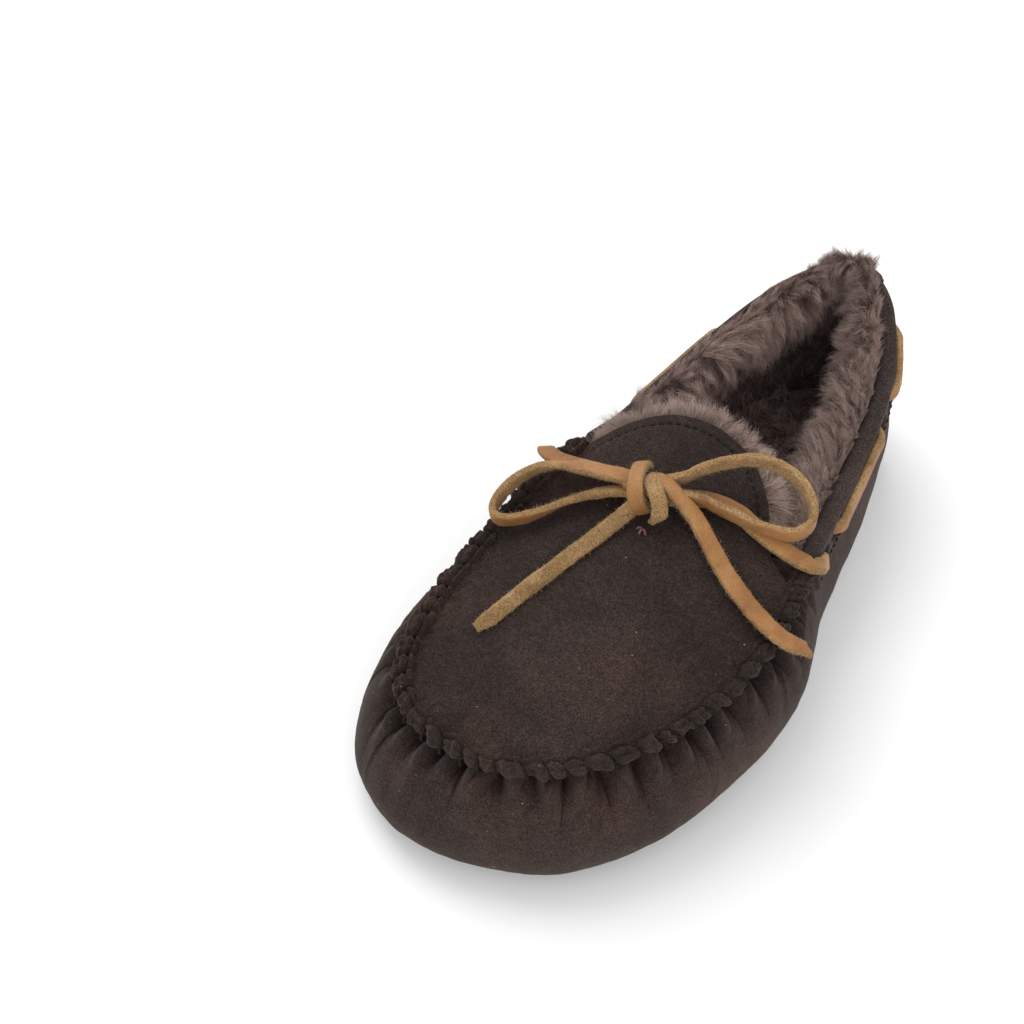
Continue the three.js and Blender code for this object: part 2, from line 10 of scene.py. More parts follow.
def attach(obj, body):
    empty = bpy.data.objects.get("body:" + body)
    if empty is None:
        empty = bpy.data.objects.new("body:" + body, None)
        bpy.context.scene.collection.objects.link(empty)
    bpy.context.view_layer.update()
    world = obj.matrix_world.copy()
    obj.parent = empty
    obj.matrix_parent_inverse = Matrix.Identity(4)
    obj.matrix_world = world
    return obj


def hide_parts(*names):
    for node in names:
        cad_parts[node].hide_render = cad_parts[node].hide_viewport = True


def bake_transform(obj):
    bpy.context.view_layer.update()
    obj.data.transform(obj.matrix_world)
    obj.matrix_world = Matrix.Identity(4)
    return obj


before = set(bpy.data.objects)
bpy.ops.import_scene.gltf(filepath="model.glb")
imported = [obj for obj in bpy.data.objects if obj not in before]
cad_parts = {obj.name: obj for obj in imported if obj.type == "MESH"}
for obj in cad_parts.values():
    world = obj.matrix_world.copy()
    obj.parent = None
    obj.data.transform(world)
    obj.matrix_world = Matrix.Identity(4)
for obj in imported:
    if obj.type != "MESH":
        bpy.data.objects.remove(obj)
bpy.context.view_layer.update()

# ---- driving dimensions: millimetres, in the pattern's own coordinates --------------------

MM = 0.001
PATTERN_ORIGIN = np.array([4.3856, 2.6628, 0.0])   # the frame's origin in the pattern

OUTSOLE_TOP = 5.3         # the foot of the wall, just above the rubber
OUTSOLE_INSET = 5         # from the wall's widest line in to the sole's edge
TREAD_PITCH = 9
TREAD_DEPTH = 1.6
LASTING_INSET = 8         # from the wall's widest line in to its foot
FOOTBED_INSET = 14.2      # from the wall's widest line in to the footbed's edge
FOOTBED_TOP = 21.7
BAND_FOOT = 0.8           # where the collar band starts, as a share of the wall
THONG_WIDTH = 5.8         # the width that is drawn
THONG_THICKNESS = 2.6
LACE_LINE = 0.915         # height of the lace, as a share of the wall
HINGE_Y = 4               # the tongue bends here
SUEDE = 1.6               # thickness
STITCH_PITCH = 7          # along the puckered seam
THROAT_EASE = 0.012       # how far short of the throats a sheet ends
SOLE_CENTRE = np.array([1.0, 0.0, 0.0])

DOME = {"height": 67, "slope": 0.17, "sag": 0.0003, "cross": 0.0036, "middle": 3, "curl": 0.0035}

# One row for each station round the shoe, clockwise from the heel: widest point, top edge.
STATIONS = [
    ((2, 129), (1, 122, 77)), ((18, 125), (14, 115, 74)), ((30, 112), (26, 100, 66)),
    ((37, 94), (33, 82, 60)), ((43, 72), (37.5, 62, 56)), ((48, 48), (41.5, 42, 54.5)),
    ((54, 26), (45.5, 22, 56.5)), ((59.5, 4), (49.5, 4)), ((62.5, -20), (53, -18)),
    ((60.5, -50), (51, -42)), ((52, -81), (43.5, -66)), ((37, -104), (30, -87)),
    ((14, -119.5), (12, -101)), ((-9, -125.5), (-8, -105.5)), ((-30, -121.5), (-26, -102.5)),
    ((-45.5, -109), (-38, -91)), ((-53, -86), (-43.5, -71)), ((-53, -57), (-44.5, -48)),
    ((-49, -27), (-44, -24)), ((-44, 2), (-41.5, 2)), ((-40.5, 28), (-39, 24, 57)),
    ((-39, 55), (-37.5, 50, 56.5)), ((-37, 80), (-34, 76, 60)), ((-31, 104), (-26, 100, 68)),
    ((-17, 122), (-14, 117, 75)),
]
THROAT_LATERAL = 7 / len(STATIONS)
THROAT_MEDIAL = 19 / len(STATIONS)

# The slots the lace passes through, as shares of the way round from the heel.
SLOTS_LATERAL = [0.05, 0.1, 0.128, 0.215, 0.243]
MEDIAL_SHARE = (1 - THROAT_MEDIAL) / THROAT_LATERAL

TONGUE_EDGE = [
    (37.5, 1.5), (32, 8.5), (25, 17.5), (13, 25.5), (-3, 28.5), (-18, 25.5), (-29, 17), (-35.5, 7),
    (-37.5, 1.5),
]
PLUG_CENTRE = np.array([0.0, -38.0])
PLUG_INSET = 2.2

CAMERA = {
    "azimuth": 41.44, "elevation": 52.8, "roll": -2.56, "target": (-0.0505, -0.0282, 0.0479),
    "distance": 0.4303, "lens": 44.2, "sensor": 36,
}
FLOOR = {"half": 12.0, "colour": (0.9, 0.9, 0.9), "roughness": 0.9}
WORLD_STRENGTH = 0.95
LIGHT_AIM = (0, 0, 0.04)
# Each lamp's name, place and size in metres, and power in watts.
LIGHTS = [("key", (-0.7, 0.3, 1.3), 0.9, 9), ("fill", (0.9, -0.9, 0.9), 1.2, 4)]

# ---- numbers in bulk ----------------------------------------------------------------------


def lerp(low, high, share):
    return low + (high - low) * share


def smooth_step(value, low, high):
    t = np.clip((value - low) / (high - low), 0, 1)
    return t * t * (3 - 2 * t)


def bell(value, middle, width):
    """1 in the middle, and about a third at one width to either side."""
    return np.exp(-(((value - middle) / width) ** 2))


def unit(vectors):
    return vectors / np.maximum(np.linalg.norm(vectors, axis=-1, keepdims=True), 1e-9)


def hashed(*cells):
    """A number from 0 to 1 for each whole-number cell, always the same one."""
    total = sum(cell * factor for cell, factor in zip(cells, (127.1, 311.7, 74.7)))
    value = np.sin(total) * 43758.5453
    return value - np.floor(value)


def noise(points, size, seed=0):
    """Smooth noise from -1 to 1 whose lumps are about size apart."""
    place = points / size + np.array([seed * 7.31, seed * 3.17, seed * 5.53])
    cell = np.floor(place)
    t = smooth_step(place - cell, 0, 1)
    total = np.zeros(points.shape[:-1])
    for corner in np.ndindex(2, 2, 2):
        weight = np.prod(np.where(corner, t, 1 - t), axis=-1)
        total += weight * hashed(*np.moveaxis(cell + corner, -1, 0))
    return total * 2 - 1


def hermite(before, start, end, after, t):
    """A point on the smooth curve between start and end."""
    leave, arrive = 0.5 * (end - before), 0.5 * (after - start)
    shape = 2 * t**3 - 3 * t**2 + 1
    return shape * start + (t**3 - 2 * t**2 + t) * leave + (1 - shape) * end + (t**3 - t**2) * arrive


class ClosedCurve:
    """A smooth closed curve through points; a share from 0 to 1 goes once round it."""

    def __init__(self, points):
        self.points = np.array(points, float)

    def at(self, share):
        count = len(self.points)
        place = np.mod(share, 1.0) * count
        index = np.floor(place).astype(int)
        corners = [self.points[(index + step) % count] for step in (-1, 0, 1, 2)]
        return hermite(*corners, (place - index)[..., None])

    def tangent(self, share):
        return unit(self.at(share + 1e-4) - self.at(share - 1e-4))


def open_curve(points, shares):
    """Points on a smooth open curve, at shares from 0 to 1 of its corners."""
    points = np.array(points, float)
    last = len(points) - 1
    place = np.clip(shares, 0, 1) * last
    index = np.minimum(np.floor(place).astype(int), last - 1)
    corners = [points[np.clip(index + step, 0, last)] for step in (-1, 0, 1, 2)]
    return hermite(*corners, (place - index)[..., None])


def walked_along(points):
    """How far along a line of points each one lies."""
    return np.concatenate([[0], np.cumsum(np.linalg.norm(np.diff(points, axis=0), axis=1))])


def even_curve(points, count):
    """Evenly spaced points on a smooth curve through the given ones."""
    fine = open_curve(points, np.linspace(0, 1, 60 * len(points)))
    walked = walked_along(fine)
    wanted = np.linspace(0, walked[-1], count)
    return np.stack([np.interp(wanted, walked, fine[:, axis]) for axis in range(fine.shape[1])], axis=1)


def length_of(points):
    return float(np.linalg.norm(np.diff(points, axis=0), axis=1).sum())


# ---- the shoe's own shape -----------------------------------------------------------------


def dome_height(x, y):
    lengthwise = DOME["height"] + DOME["slope"] * y - DOME["sag"] * y * y
    across = DOME["cross"] * (x - DOME["middle"]) ** 2
    return lengthwise - across + DOME["curl"] * np.maximum(y, 0) ** 2


def rim_point(rim):
    return rim if len(rim) == 3 else (*rim, dome_height(*rim) - 0.3)


WIDE = ClosedCurve([(*wide, 0) for wide, _ in STATIONS])
RIM = ClosedCurve([rim_point(rim) for _, rim in STATIONS])
RIM_SHARES = np.linspace(0, 1, 2001)
RIM_WALKED = walked_along(RIM.at(RIM_SHARES))


def along_rim(u):
    """How far round the rim a share lies, in millimetres."""
    return np.interp(np.mod(u, 1.0), RIM_SHARES, RIM_WALKED)


def left_of(curve, u):
    """The level direction to the left of a curve, seen from above."""
    tangent = curve.tangent(u)
    return unit(np.stack([-tangent[..., 1], tangent[..., 0], 0 * tangent[..., 0]], axis=-1))


def outward_in_plan(u):
    return left_of(WIDE, u)


def inward_from_rim(u):
    return -left_of(RIM, u)


def wall_face(u, v):
    """The wall's outer face, v of the way from its foot (0) to its top edge (1)."""
    u, v = np.broadcast_arrays(np.asarray(u, float), np.asarray(v, float))
    wide, rim, outward = WIDE.at(u), RIM.at(u), outward_in_plan(u)
    forefoot = smooth_step(-rim[..., 1], -30, 20)[..., None]
    foot = wide - outward * LASTING_INSET
    foot[..., 2] = OUTSOLE_TOP
    low = wide + outward * lerp(5, 9.5, forefoot)
    low[..., 2] = OUTSOLE_TOP - 1.3
    high = rim + outward * lerp(1.5, 12, forefoot)
    high[..., 2] -= lerp(20, 6, forefoot[..., 0])
    v = v[..., None]
    return (1 - v) ** 3 * foot + 3 * v * (1 - v) ** 2 * low + 3 * v * v * (1 - v) * high + v**3 * rim


def wall_normal(u, v):
    step = 0.004
    along = wall_face(u + step, v) - wall_face(u - step, v)
    up = wall_face(u, v + step) - wall_face(u, v - step)
    return unit(np.cross(up, along))


def wall_point(u, v, depth):
    """A point behind the wall's face; a negative depth stands proud of it."""
    return wall_face(u, v) - wall_normal(u, v) * np.asarray(depth)[..., None]


def to_throat(u):
    """How far a share lies from the nearer throat."""
    u = np.mod(u, 1.0)
    return np.minimum(np.abs(u - THROAT_LATERAL), np.abs(u - THROAT_MEDIAL))


def collar_share(u):
    """The lateral share that matches a share on either side of the collar."""
    u = np.mod(u, 1.0)
    return np.where(u <= 0.5, u, (1 - u) / MEDIAL_SHARE)


# ---- meshes -------------------------------------------------------------------------------


def make_piece(name, points, faces, material, kind=None, materials=()):
    """A mesh object from pattern points in millimetres; faces is one or more whole arrays."""
    groups = [faces] if isinstance(faces, np.ndarray) else list(faces)
    points = (np.asarray(points, float).reshape(-1, 3) - PATTERN_ORIGIN) * MM
    sizes = np.concatenate([np.full(len(group), group.shape[1]) for group in groups])
    mesh = bpy.data.meshes.new(name)
    mesh.vertices.add(len(points))
    mesh.vertices.foreach_set("co", points.astype(np.float32).ravel())
    mesh.loops.add(int(sizes.sum()))
    corners = np.concatenate([group.ravel() for group in groups])
    mesh.loops.foreach_set("vertex_index", corners.astype(np.int32))
    mesh.polygons.add(len(sizes))
    starts = np.concatenate([[0], np.cumsum(sizes)[:-1]])
    mesh.polygons.foreach_set("loop_start", starts.astype(np.int32))
    mesh.polygons.foreach_set("use_smooth", np.ones(len(sizes), bool))
    for one in [material, *materials]:
        mesh.materials.append(one)
    if kind is not None:
        mesh.polygons.foreach_set("material_index", np.asarray(kind, np.int32))
    mesh.update(calc_edges=True)
    mesh.validate()
    piece = bpy.data.objects.new(name, mesh)
    bpy.context.scene.collection.objects.link(piece)
    return piece


def grid_faces(rows, columns, closed=False):
    """Four-sided faces of a grid of points, whose columns may close on themselves."""
    row = np.arange(rows - 1)[:, None] * columns
    column = np.arange(columns if closed else columns - 1)[None, :]
    after = (column + 1) % columns
    corners = [row + column, row + after, row + columns + after, row + columns + column]
    return np.stack([corner.ravel() for corner in corners], axis=1)


def circle(sides):
    """Places round a circle of radius 1."""
    angle = np.arange(sides) / sides * 2 * np.pi
    return np.stack([np.cos(angle), np.sin(angle)], axis=1)


def tube_points(centres, across, half_width, half_thickness, outline):
    """Rings round a path: outline gives unit places across it and up from it."""
    tangents = unit(np.gradient(centres, axis=0))
    across = unit(across - tangents * (across * tangents).sum(-1, keepdims=True))
    up = np.cross(tangents, across)
    wide = across[:, None] * outline[None, :, :1] * np.reshape(half_width, (-1, 1, 1))
    tall = up[:, None] * outline[None, :, 1:] * np.reshape(half_thickness, (-1, 1, 1))
    return centres[:, None] + wide + tall


def capped(rings):
    """Points and faces of a tube of rings, closed at both ends."""
    count, sides = rings.shape[:2]
    points = np.concatenate([rings.reshape(-1, 3), rings[:1].mean(1), rings[-1:].mean(1)])
    around = np.arange(sides)
    after = (around + 1) % sides
    last = (count - 1) * sides
    start = np.stack([after, around, np.full(sides, count * sides)], axis=1)
    end = np.stack([last + around, last + after, np.full(sides, count * sides + 1)], axis=1)
    return points, [grid_faces(count, sides, closed=True), np.concatenate([start, end])]


def joined(parts):
    """Several (points, face arrays) as one."""
    points, fours, threes, base = [], [], [], 0
    for part_points, (four, three) in parts:
        points.append(part_points)
        fours.append(four + base)
        threes.append(three + base)
        base += len(part_points)
    return np.concatenate(points), [np.concatenate(fours), np.concatenate(threes)]


# ---- materials ----------------------------------------------------------------------------


class Finish:
    """A node material with short ways to add noise, ramps and bumps."""

    def __init__(self, name, roughness, sheen=0.0, sheen_roughness=0.5, sheen_tint=(1, 1, 1), specular=0.3):
        self.material = bpy.data.materials.new(name)
        self.material.use_nodes = True
        self.tree = self.material.node_tree
        self.shader = self.tree.nodes["Principled BSDF"]
        self.shader.inputs["Roughness"].default_value = roughness
        self.shader.inputs["Specular IOR Level"].default_value = specular
        self.shader.inputs["Sheen Weight"].default_value = sheen
        self.shader.inputs["Sheen Roughness"].default_value = sheen_roughness
        self.shader.inputs["Sheen Tint"].default_value = (*sheen_tint, 1)
        self.place = self.add("ShaderNodeTexCoord").outputs["Object"]

    def add(self, kind):
        return self.tree.nodes.new(kind)

    def link(self, source, target):
        self.tree.links.new(source, target)

    def noise(self, size_mm, detail=3, roughness=0.55, distortion=0.0, stretch=None):
        node = self.add("ShaderNodeTexNoise")
        node.inputs["Scale"].default_value = 1000 / size_mm
        node.inputs["Detail"].default_value = detail
        node.inputs["Roughness"].default_value = roughness
        node.inputs["Distortion"].default_value = distortion
        place = self.place
        if stretch is not None:
            mapping = self.add("ShaderNodeMapping")
            mapping.inputs["Scale"].default_value = stretch
            self.link(place, mapping.inputs["Vector"])
            place = mapping.outputs["Vector"]
        self.link(place, node.inputs["Vector"])
        return node.outputs["Fac"]

    def ramp(self, value, stops):
        node = self.add("ShaderNodeValToRGB")
        elements = node.color_ramp.elements
        while len(elements) < len(stops):
            elements.new(0.5)
        for element, (position, colour) in zip(elements, stops):
            element.position = position
            element.color = (*colour, 1)
        self.link(value, node.inputs["Fac"])
        return node.outputs["Color"]

    def mix(self, share, first, second, how="MIX"):
        node = self.add("ShaderNodeMix")
        node.data_type = "RGBA"
        node.blend_type = how
        if isinstance(share, float):
            node.inputs[0].default_value = share
        else:
            self.link(share, node.inputs[0])
        for socket, value in ((node.inputs[6], first), (node.inputs[7], second)):
            if isinstance(value, tuple):
                socket.default_value = (*value, 1)
            else:
                self.link(value, socket)
        return node.outputs[2]

    def overlay(self, share, base, value, *stops):
        """Lightens and darkens base by a ramp of value."""
        return self.mix(share, base, self.ramp(value, stops), "OVERLAY")

    def colour(self, value):
        self.link(value, self.shader.inputs["Base Color"])

    def bump(self, heights):
        """heights is a list of (value, strength in mm), the coarse one first."""
        normal = None
        for value, depth_mm in heights:
            node = self.add("ShaderNodeBump")
            node.inputs["Strength"].default_value = 1.0
            node.inputs["Distance"].default_value = depth_mm * MM
            self.link(value, node.inputs["Height"])
            if normal is not None:
                self.link(normal, node.inputs["Normal"])
            normal = node.outputs["Normal"]
        self.link(normal, self.shader.inputs["Normal"])


def suede_finish(name, dark, mid, light, warm):
    finish = Finish(
        name, 0.92, sheen=0.12, sheen_roughness=0.45, sheen_tint=(0.75, 0.6, 0.54), specular=0.15)
    broad = finish.noise(38, detail=4, roughness=0.6, distortion=0.4)
    base = finish.ramp(broad, [(0.3, dark), (0.52, mid), (0.75, light)])
    patches = finish.ramp(finish.noise(46, detail=2), [(0.5, (0, 0, 0)), (0.72, (1, 1, 1))])
    warmed = finish.mix(patches, base, warm)
    nap = finish.noise(5, detail=5, roughness=0.7, distortion=0.6)
    brushed = finish.overlay(0.55, warmed, nap, (0.32, (0.34, 0.34, 0.34)), (0.7, (0.66, 0.64, 0.63)))
    grain = finish.noise(0.5, detail=3, roughness=0.7)
    coarse = finish.noise(1.5, detail=3, roughness=0.7)
    mottled = finish.overlay(0.4, brushed, coarse, (0.32, (0.22, 0.22, 0.22)), (0.68, (0.8, 0.79, 0.78)))
    speckled = finish.overlay(0.95, mottled, grain, (0.34, (0.12, 0.12, 0.12)), (0.66, (0.92, 0.91, 0.9)))
    lint = finish.ramp(finish.noise(1.3, detail=0), [(0.885, (0, 0, 0)), (0.9, (1, 1, 1))])
    finish.colour(finish.mix(lint, speckled, (0.24, 0.21, 0.19)))
    finish.bump([(nap, 0.3), (coarse, 0.2), (grain, 0.2)])
    return finish.material


def lace_finish(name, dark, mid, light, fuzz_mm, roughness, speckle):
    """speckle is how strongly light and dark fibres show, from 0 to 0.5."""
    finish = Finish(name, roughness, sheen=0.12, sheen_roughness=0.4, sheen_tint=(1, 0.8, 0.6), specular=0.25)
    broad = finish.noise(14, detail=4, roughness=0.6, distortion=0.5)
    base = finish.ramp(broad, [(0.3, dark), (0.5, mid), (0.72, light)])
    fibre = finish.noise(0.6, detail=4, roughness=0.75)
    low, high = (0.5 - speckle,) * 3, (0.5 + speckle,) * 3
    finish.colour(finish.overlay(0.9, base, fibre, (0.33, low), (0.67, high)))
    finish.bump([(finish.noise(2.5, detail=2), fuzz_mm * 1.2), (fibre, fuzz_mm)])
    return finish.material


def fleece_finish():
    finish = Finish("fleece", 0.95, sheen=0.3, sheen_tint=(0.8, 0.66, 0.62), specular=0.1)
    curls = finish.noise(6, detail=6, roughness=0.7, distortion=1.2)
    stops = [(0.3, (0.028, 0.018, 0.016)), (0.55, (0.075, 0.05, 0.045)), (0.8, (0.15, 0.105, 0.095))]
    finish.colour(finish.ramp(curls, stops))
    finish.bump([(curls, 1.6), (finish.noise(1.2, detail=3), 0.5)])
    return finish.material


def fibre_finish(name, colour):
    finish = Finish(
        name, 0.62, sheen=0.35, sheen_roughness=0.35, sheen_tint=(0.85, 0.72, 0.68), specular=0.25)
    finish.shader.inputs["Base Color"].default_value = (*colour, 1)
    return finish.material


def pile_finishes(name, colours):
    """The four tones of one kind of fibre, from its root to its tip; the darker root is painted shade deep in
    the pile.
    """
    parts = ("root", "low", "high", "tip")
    return [fibre_finish(f"{name}_{part}", colour) for part, colour in zip(parts, colours)]


def thread_finish(name, dark, light):
    finish = Finish(name, 0.9, specular=0.12)
    strands = finish.noise(0.6, detail=3, roughness=0.6)
    finish.colour(finish.ramp(strands, [(0.3, dark), (0.7, light)]))
    finish.bump([(strands, 0.12)])
    return finish.material


def rubber_finish():
    finish = Finish("sole_rubber", 0.7, specular=0.35)
    speckle = finish.noise(1.2, detail=4, roughness=0.7)
    finish.colour(finish.ramp(speckle, [(0.3, (0.014, 0.012, 0.011)), (0.7, (0.032, 0.027, 0.025))]))
    finish.bump([(speckle, 0.12)])
    return finish.material


def board_finish(name, dark, light):
    finish = Finish(name, 0.9, specular=0.2)
    fibres = finish.noise(1.5, detail=5, roughness=0.7, stretch=(1, 0.25, 1))
    finish.colour(finish.ramp(fibres, [(0.3, dark), (0.7, light)]))
    finish.bump([(fibres, 0.1)])
    return finish.material


SUEDE_DARK = suede_finish(
    "suede", (0.019, 0.013, 0.0115), (0.027, 0.0185, 0.016), (0.04, 0.028, 0.0245), (0.045, 0.026, 0.0215))
SUEDE_BAND = suede_finish(
    "suede_band", (0.026, 0.019, 0.0175), (0.037, 0.028, 0.0255), (0.055, 0.042, 0.038),
    (0.048, 0.032, 0.028))
LACE_SMOOTH = lace_finish(
    "lace_face", (0.2, 0.084, 0.027), (0.29, 0.135, 0.045), (0.37, 0.19, 0.075), 0.08, 0.55, 0.12)
LACE_FLESH = lace_finish(
    "lace_flesh", (0.2, 0.112, 0.045), (0.31, 0.185, 0.08), (0.41, 0.265, 0.128), 0.4, 0.92, 0.33)
FLEECE = fleece_finish()
# Each kind of fibre runs from a dark root to a light tip: the darker root is painted shade deep in the pile.
FIBRES = pile_finishes(
    "fibre", [(0.082, 0.049, 0.041), (0.2, 0.128, 0.108), (0.31, 0.208, 0.18), (0.42, 0.296, 0.258)])
FRINGE_FIBRES = pile_finishes(
    "fringe", [(0.17, 0.11, 0.092), (0.28, 0.19, 0.16), (0.4, 0.29, 0.245), (0.52, 0.39, 0.335)])
FUZZ_FINISHES = pile_finishes(
    "fuzz", [(0.25, 0.15, 0.066), (0.32, 0.2, 0.095), (0.4, 0.27, 0.14), (0.5, 0.36, 0.21)])
THREAD = thread_finish("thread", (0.009, 0.0065, 0.006), (0.026, 0.019, 0.017))
TACK = thread_finish("tack_thread", (0.1, 0.05, 0.038), (0.24, 0.13, 0.105))
RUBBER = rubber_finish()
BOARD = board_finish("board", (0.22, 0.15, 0.09), (0.36, 0.26, 0.17))
FOAM = board_finish("foam", (0.5, 0.44, 0.34), (0.66, 0.6, 0.5))


# ---- the camera, before anything else is made ---------------------------------------------


def make_camera():
    azimuth, elevation, roll = (math.radians(CAMERA[name]) for name in ("azimuth", "elevation", "roll"))
    level = math.cos(elevation)
    back = Vector((math.sin(azimuth) * level, -math.cos(azimuth) * level, math.sin(elevation)))
    right = Vector((0, 0, 1)).cross(back).normalized()
    up = back.cross(right)
    across = right * math.cos(roll) + up * math.sin(roll)
    above = up * math.cos(roll) - right * math.sin(roll)
    data = bpy.data.cameras.new("camera")
    data.sensor_width = CAMERA["sensor"]
    data.lens = CAMERA["lens"]
    data.clip_start = 0.01
    camera = bpy.data.objects.new("camera", data)
    bpy.context.scene.collection.objects.link(camera)
    matrix = Matrix((across, above, back)).transposed().to_4x4()
    matrix.translation = Vector(CAMERA["target"]) + back * CAMERA["distance"]
    camera.matrix_world = matrix
    bpy.context.scene.camera = camera


make_camera()

# ---- the lace -----------------------------------------------------------------------------

# Routes in millimetres, from the knot outwards; the medial lead runs towards the knot.
LEAD_LATERAL = [
    (9, 3.4, 69.8), (15, 5.8, 69.8), (22, 6.6, 69.5), (29, 5.2, 68.9), (36, 4.6, 67.8), (43, 5, 66.4),
    (49.3, 7.2, 64),
]
LEAD_MEDIAL = [
    (-47, -5.6, 61.6), (-43.6, -8.4, 65.4), (-38.5, -9.6, 66.6), (-32.5, -8.3, 67), (-24, -5.7, 67.6),
    (-17, -3.6, 68),
]
LOOP_LEFT = [
    (-14.3, -6.3, 73), (-20.6, -7.9, 72), (-28.2, -9.9, 70.5), (-35.5, -12.6, 69), (-41, -16.3, 67),
    (-44.7, -22.4, 65), (-46.3, -28.4, 62.8), (-46.1, -33.8, 61), (-44.3, -37, 60.3),
    (-40.7, -37.1, 60.2), (-35.8, -33.4, 61), (-31.1, -27.4, 62.5), (-27.4, -21.6, 64.2),
    (-23, -16.6, 66), (-17.4, -11.9, 68), (-14.5, -10.2, 69),
]
LOOP_RIGHT = [
    (2.6, 3.6, 76), (4.9, 6.8, 77.5), (9.1, 10.8, 80), (13.6, 14.2, 82), (18, 17.3, 83), (23.8, 19.8, 83),
    (30.7, 20.6, 82), (36.5, 20, 79.5), (40.9, 17.7, 76.5), (43.1, 14.3, 74), (42.2, 10.7, 72.3),
    (39.6, 7.8, 71.5), (34.5, 5.8, 71.3), (28.4, 3.8, 71.6), (22.3, 3, 72.2), (16, 1.7, 73),
    (11.2, 1.1, 73.2),
]
TAIL_LEFT = [
    (-6.4, -13.3, 69), (-7.9, -17.5, 67), (-9.5, -22.4, 65.2), (-11.1, -28.2, 63.8), (-12.2, -32, 63),
    (-13.3, -35.7, 62.2), (-14.3, -39.6, 61.4), (-15.3, -43.5, 60.5), (-16.4, -47.3, 59.6),
    (-17.5, -51, 58.7), (-18.6, -54.7, 57.6), (-19.6, -58.4, 56.5), (-20.5, -61.7, 55.6),
    (-21.4, -65, 54.6), (-23.6, -71.1, 52.9),
]
TAIL_RIGHT = [
    (6, -4.1, 75), (8.7, -4.4, 73.8), (12.6, -4.8, 71.5), (16.7, -6.4, 69.6), (21.8, -8.7, 67.6),
    (27, -11.3, 66), (32.4, -13.7, 64.8), (38, -15.6, 63.5), (43.3, -17.2, 62.3), (48.7, -18.3, 61.3),
    (52, -18.8, 60.9), (54.7, -19.1, 60.5), (57.2, -18.7, 59.8), (59.5, -17.9, 59), (62.8, -15.6, 57),
]
LACE_PROUD = -2.3         # depth of the lace outside the band, and inside it
LACE_HIDDEN = 3.4
HOP_EASE = 0.0068         # half of the way that the lace needs to pass a slot
UP = np.array([0.0, 0.0, 1.0])


def thong_outline(sides=20, corner=0.22):
    """A unit square with rounded corners, squashed later to the thong's section."""
    angle = (np.arange(sides) + 0.5) / sides * 2 * np.pi
    power = corner * 2
    x = np.sign(np.cos(angle)) * np.abs(np.cos(angle)) ** power
    y = np.sign(np.sin(angle)) * np.abs(np.sin(angle)) ** power
    return np.stack([x, y], axis=1)


def height_of_faces(outline):
    """How high each face round a thong looks: 1 is its smooth face and -1 its flesh side."""
    return np.sin((np.arange(len(outline)) + 1.0) / len(outline) * 2 * np.pi)


def is_flesh_side(outline):
    """Which faces round a thong are its rough flesh side and cut edges, not its smooth face."""
    return height_of_faces(outline) < 0.55


def rough_faces(is_rough, rings, ends):
    """Which faces of a closed tube are rough (1): those round it that are, and both ends."""
    return np.concatenate([np.tile(is_rough, rings - 1), np.ones(len(ends), bool)]).astype(int)


def rolled(centres, rolls):
    """The direction of a thong's width: level at roll 0, upright at 90 degrees."""
    flat = unit(np.cross(UP, np.gradient(centres, axis=0)))
    places = np.linspace(0, 1, len(centres))
    angle = np.radians(np.interp(places, np.linspace(0, 1, len(rolls)), rolls))[:, None]
    return flat * np.cos(angle) + UP * np.sin(angle)


def thong_mesh(
    route, rolls=None, across=None, seed=0, slant=0.0, taper=0.0, width=THONG_WIDTH,
    thickness=THONG_THICKNESS,
):
    """A leather thong: points, faces, which faces are flesh (1), and its centreline."""
    outline = thong_outline()
    step = 0.5
    total = length_of(even_curve(route, 200))
    count = max(int(total / step), 8)
    centres = even_curve(route, count)
    turned = rolled(centres, rolls) if across is None else np.tile(across, (count, 1))
    wobble = 1 + 0.06 * noise(centres, 9, seed) + 0.03 * noise(centres, 3, seed + 1)
    wobble *= 1 - taper * smooth_step(np.linspace(0, total, count), total - 5, total)
    rings = tube_points(centres, turned, width / 2 * wobble, thickness / 2 * wobble, outline)
    rough = 0.09 + 0.1 * is_flesh_side(outline)[None, :]
    rings += (rough * noise(rings, 0.9, seed + 2))[..., None] * unit(rings - centres[:, None])
    tangents = unit(np.gradient(centres, axis=0))
    for ring, sign in ((0, 1), (count - 1, -1)):
        rings[ring] += slant * sign * tangents[ring] * outline[:, :1] * width / 2
    points, faces = capped(rings)
    return points, faces, rough_faces(is_flesh_side(outline), count, faces[1]), centres


FUZZ = []   # places and directions on the thongs' flesh side, for the fuzz that stands on it


def keep_for_fuzz(points, faces, kind):
    quads = points[faces[0][kind[:len(faces[0])] == 1]]
    out = unit(np.cross(quads[:, 2] - quads[:, 0], quads[:, 3] - quads[:, 1]))
    FUZZ.append((quads.mean(1), out))


def add_thong(name, route, rolls, seed, slant=0.0, taper=0.0, width=THONG_WIDTH):
    points, faces, kind, centres = thong_mesh(route, rolls, seed=seed, slant=slant, taper=taper, width=width)
    keep_for_fuzz(points, faces, kind)
    thong = make_piece(name, points, faces, LACE_SMOOTH, kind, [LACE_FLESH])
    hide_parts(name.replace("thong", "lace"))
    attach(thong, "shoe")


def lace_depth(u):
    along = collar_share(u)
    heel, hop_start, hop_end, front_start, front_end = SLOTS_LATERAL

    def passed(slot):
        return smooth_step(along, slot - HOP_EASE, slot + HOP_EASE)

    proud = passed(heel) - passed(hop_start) + passed(hop_end) - passed(front_start)
    is_lateral = np.mod(u, 1.0) < 0.5
    return lerp(LACE_HIDDEN, LACE_PROUD, proud + passed(front_end) * is_lateral)


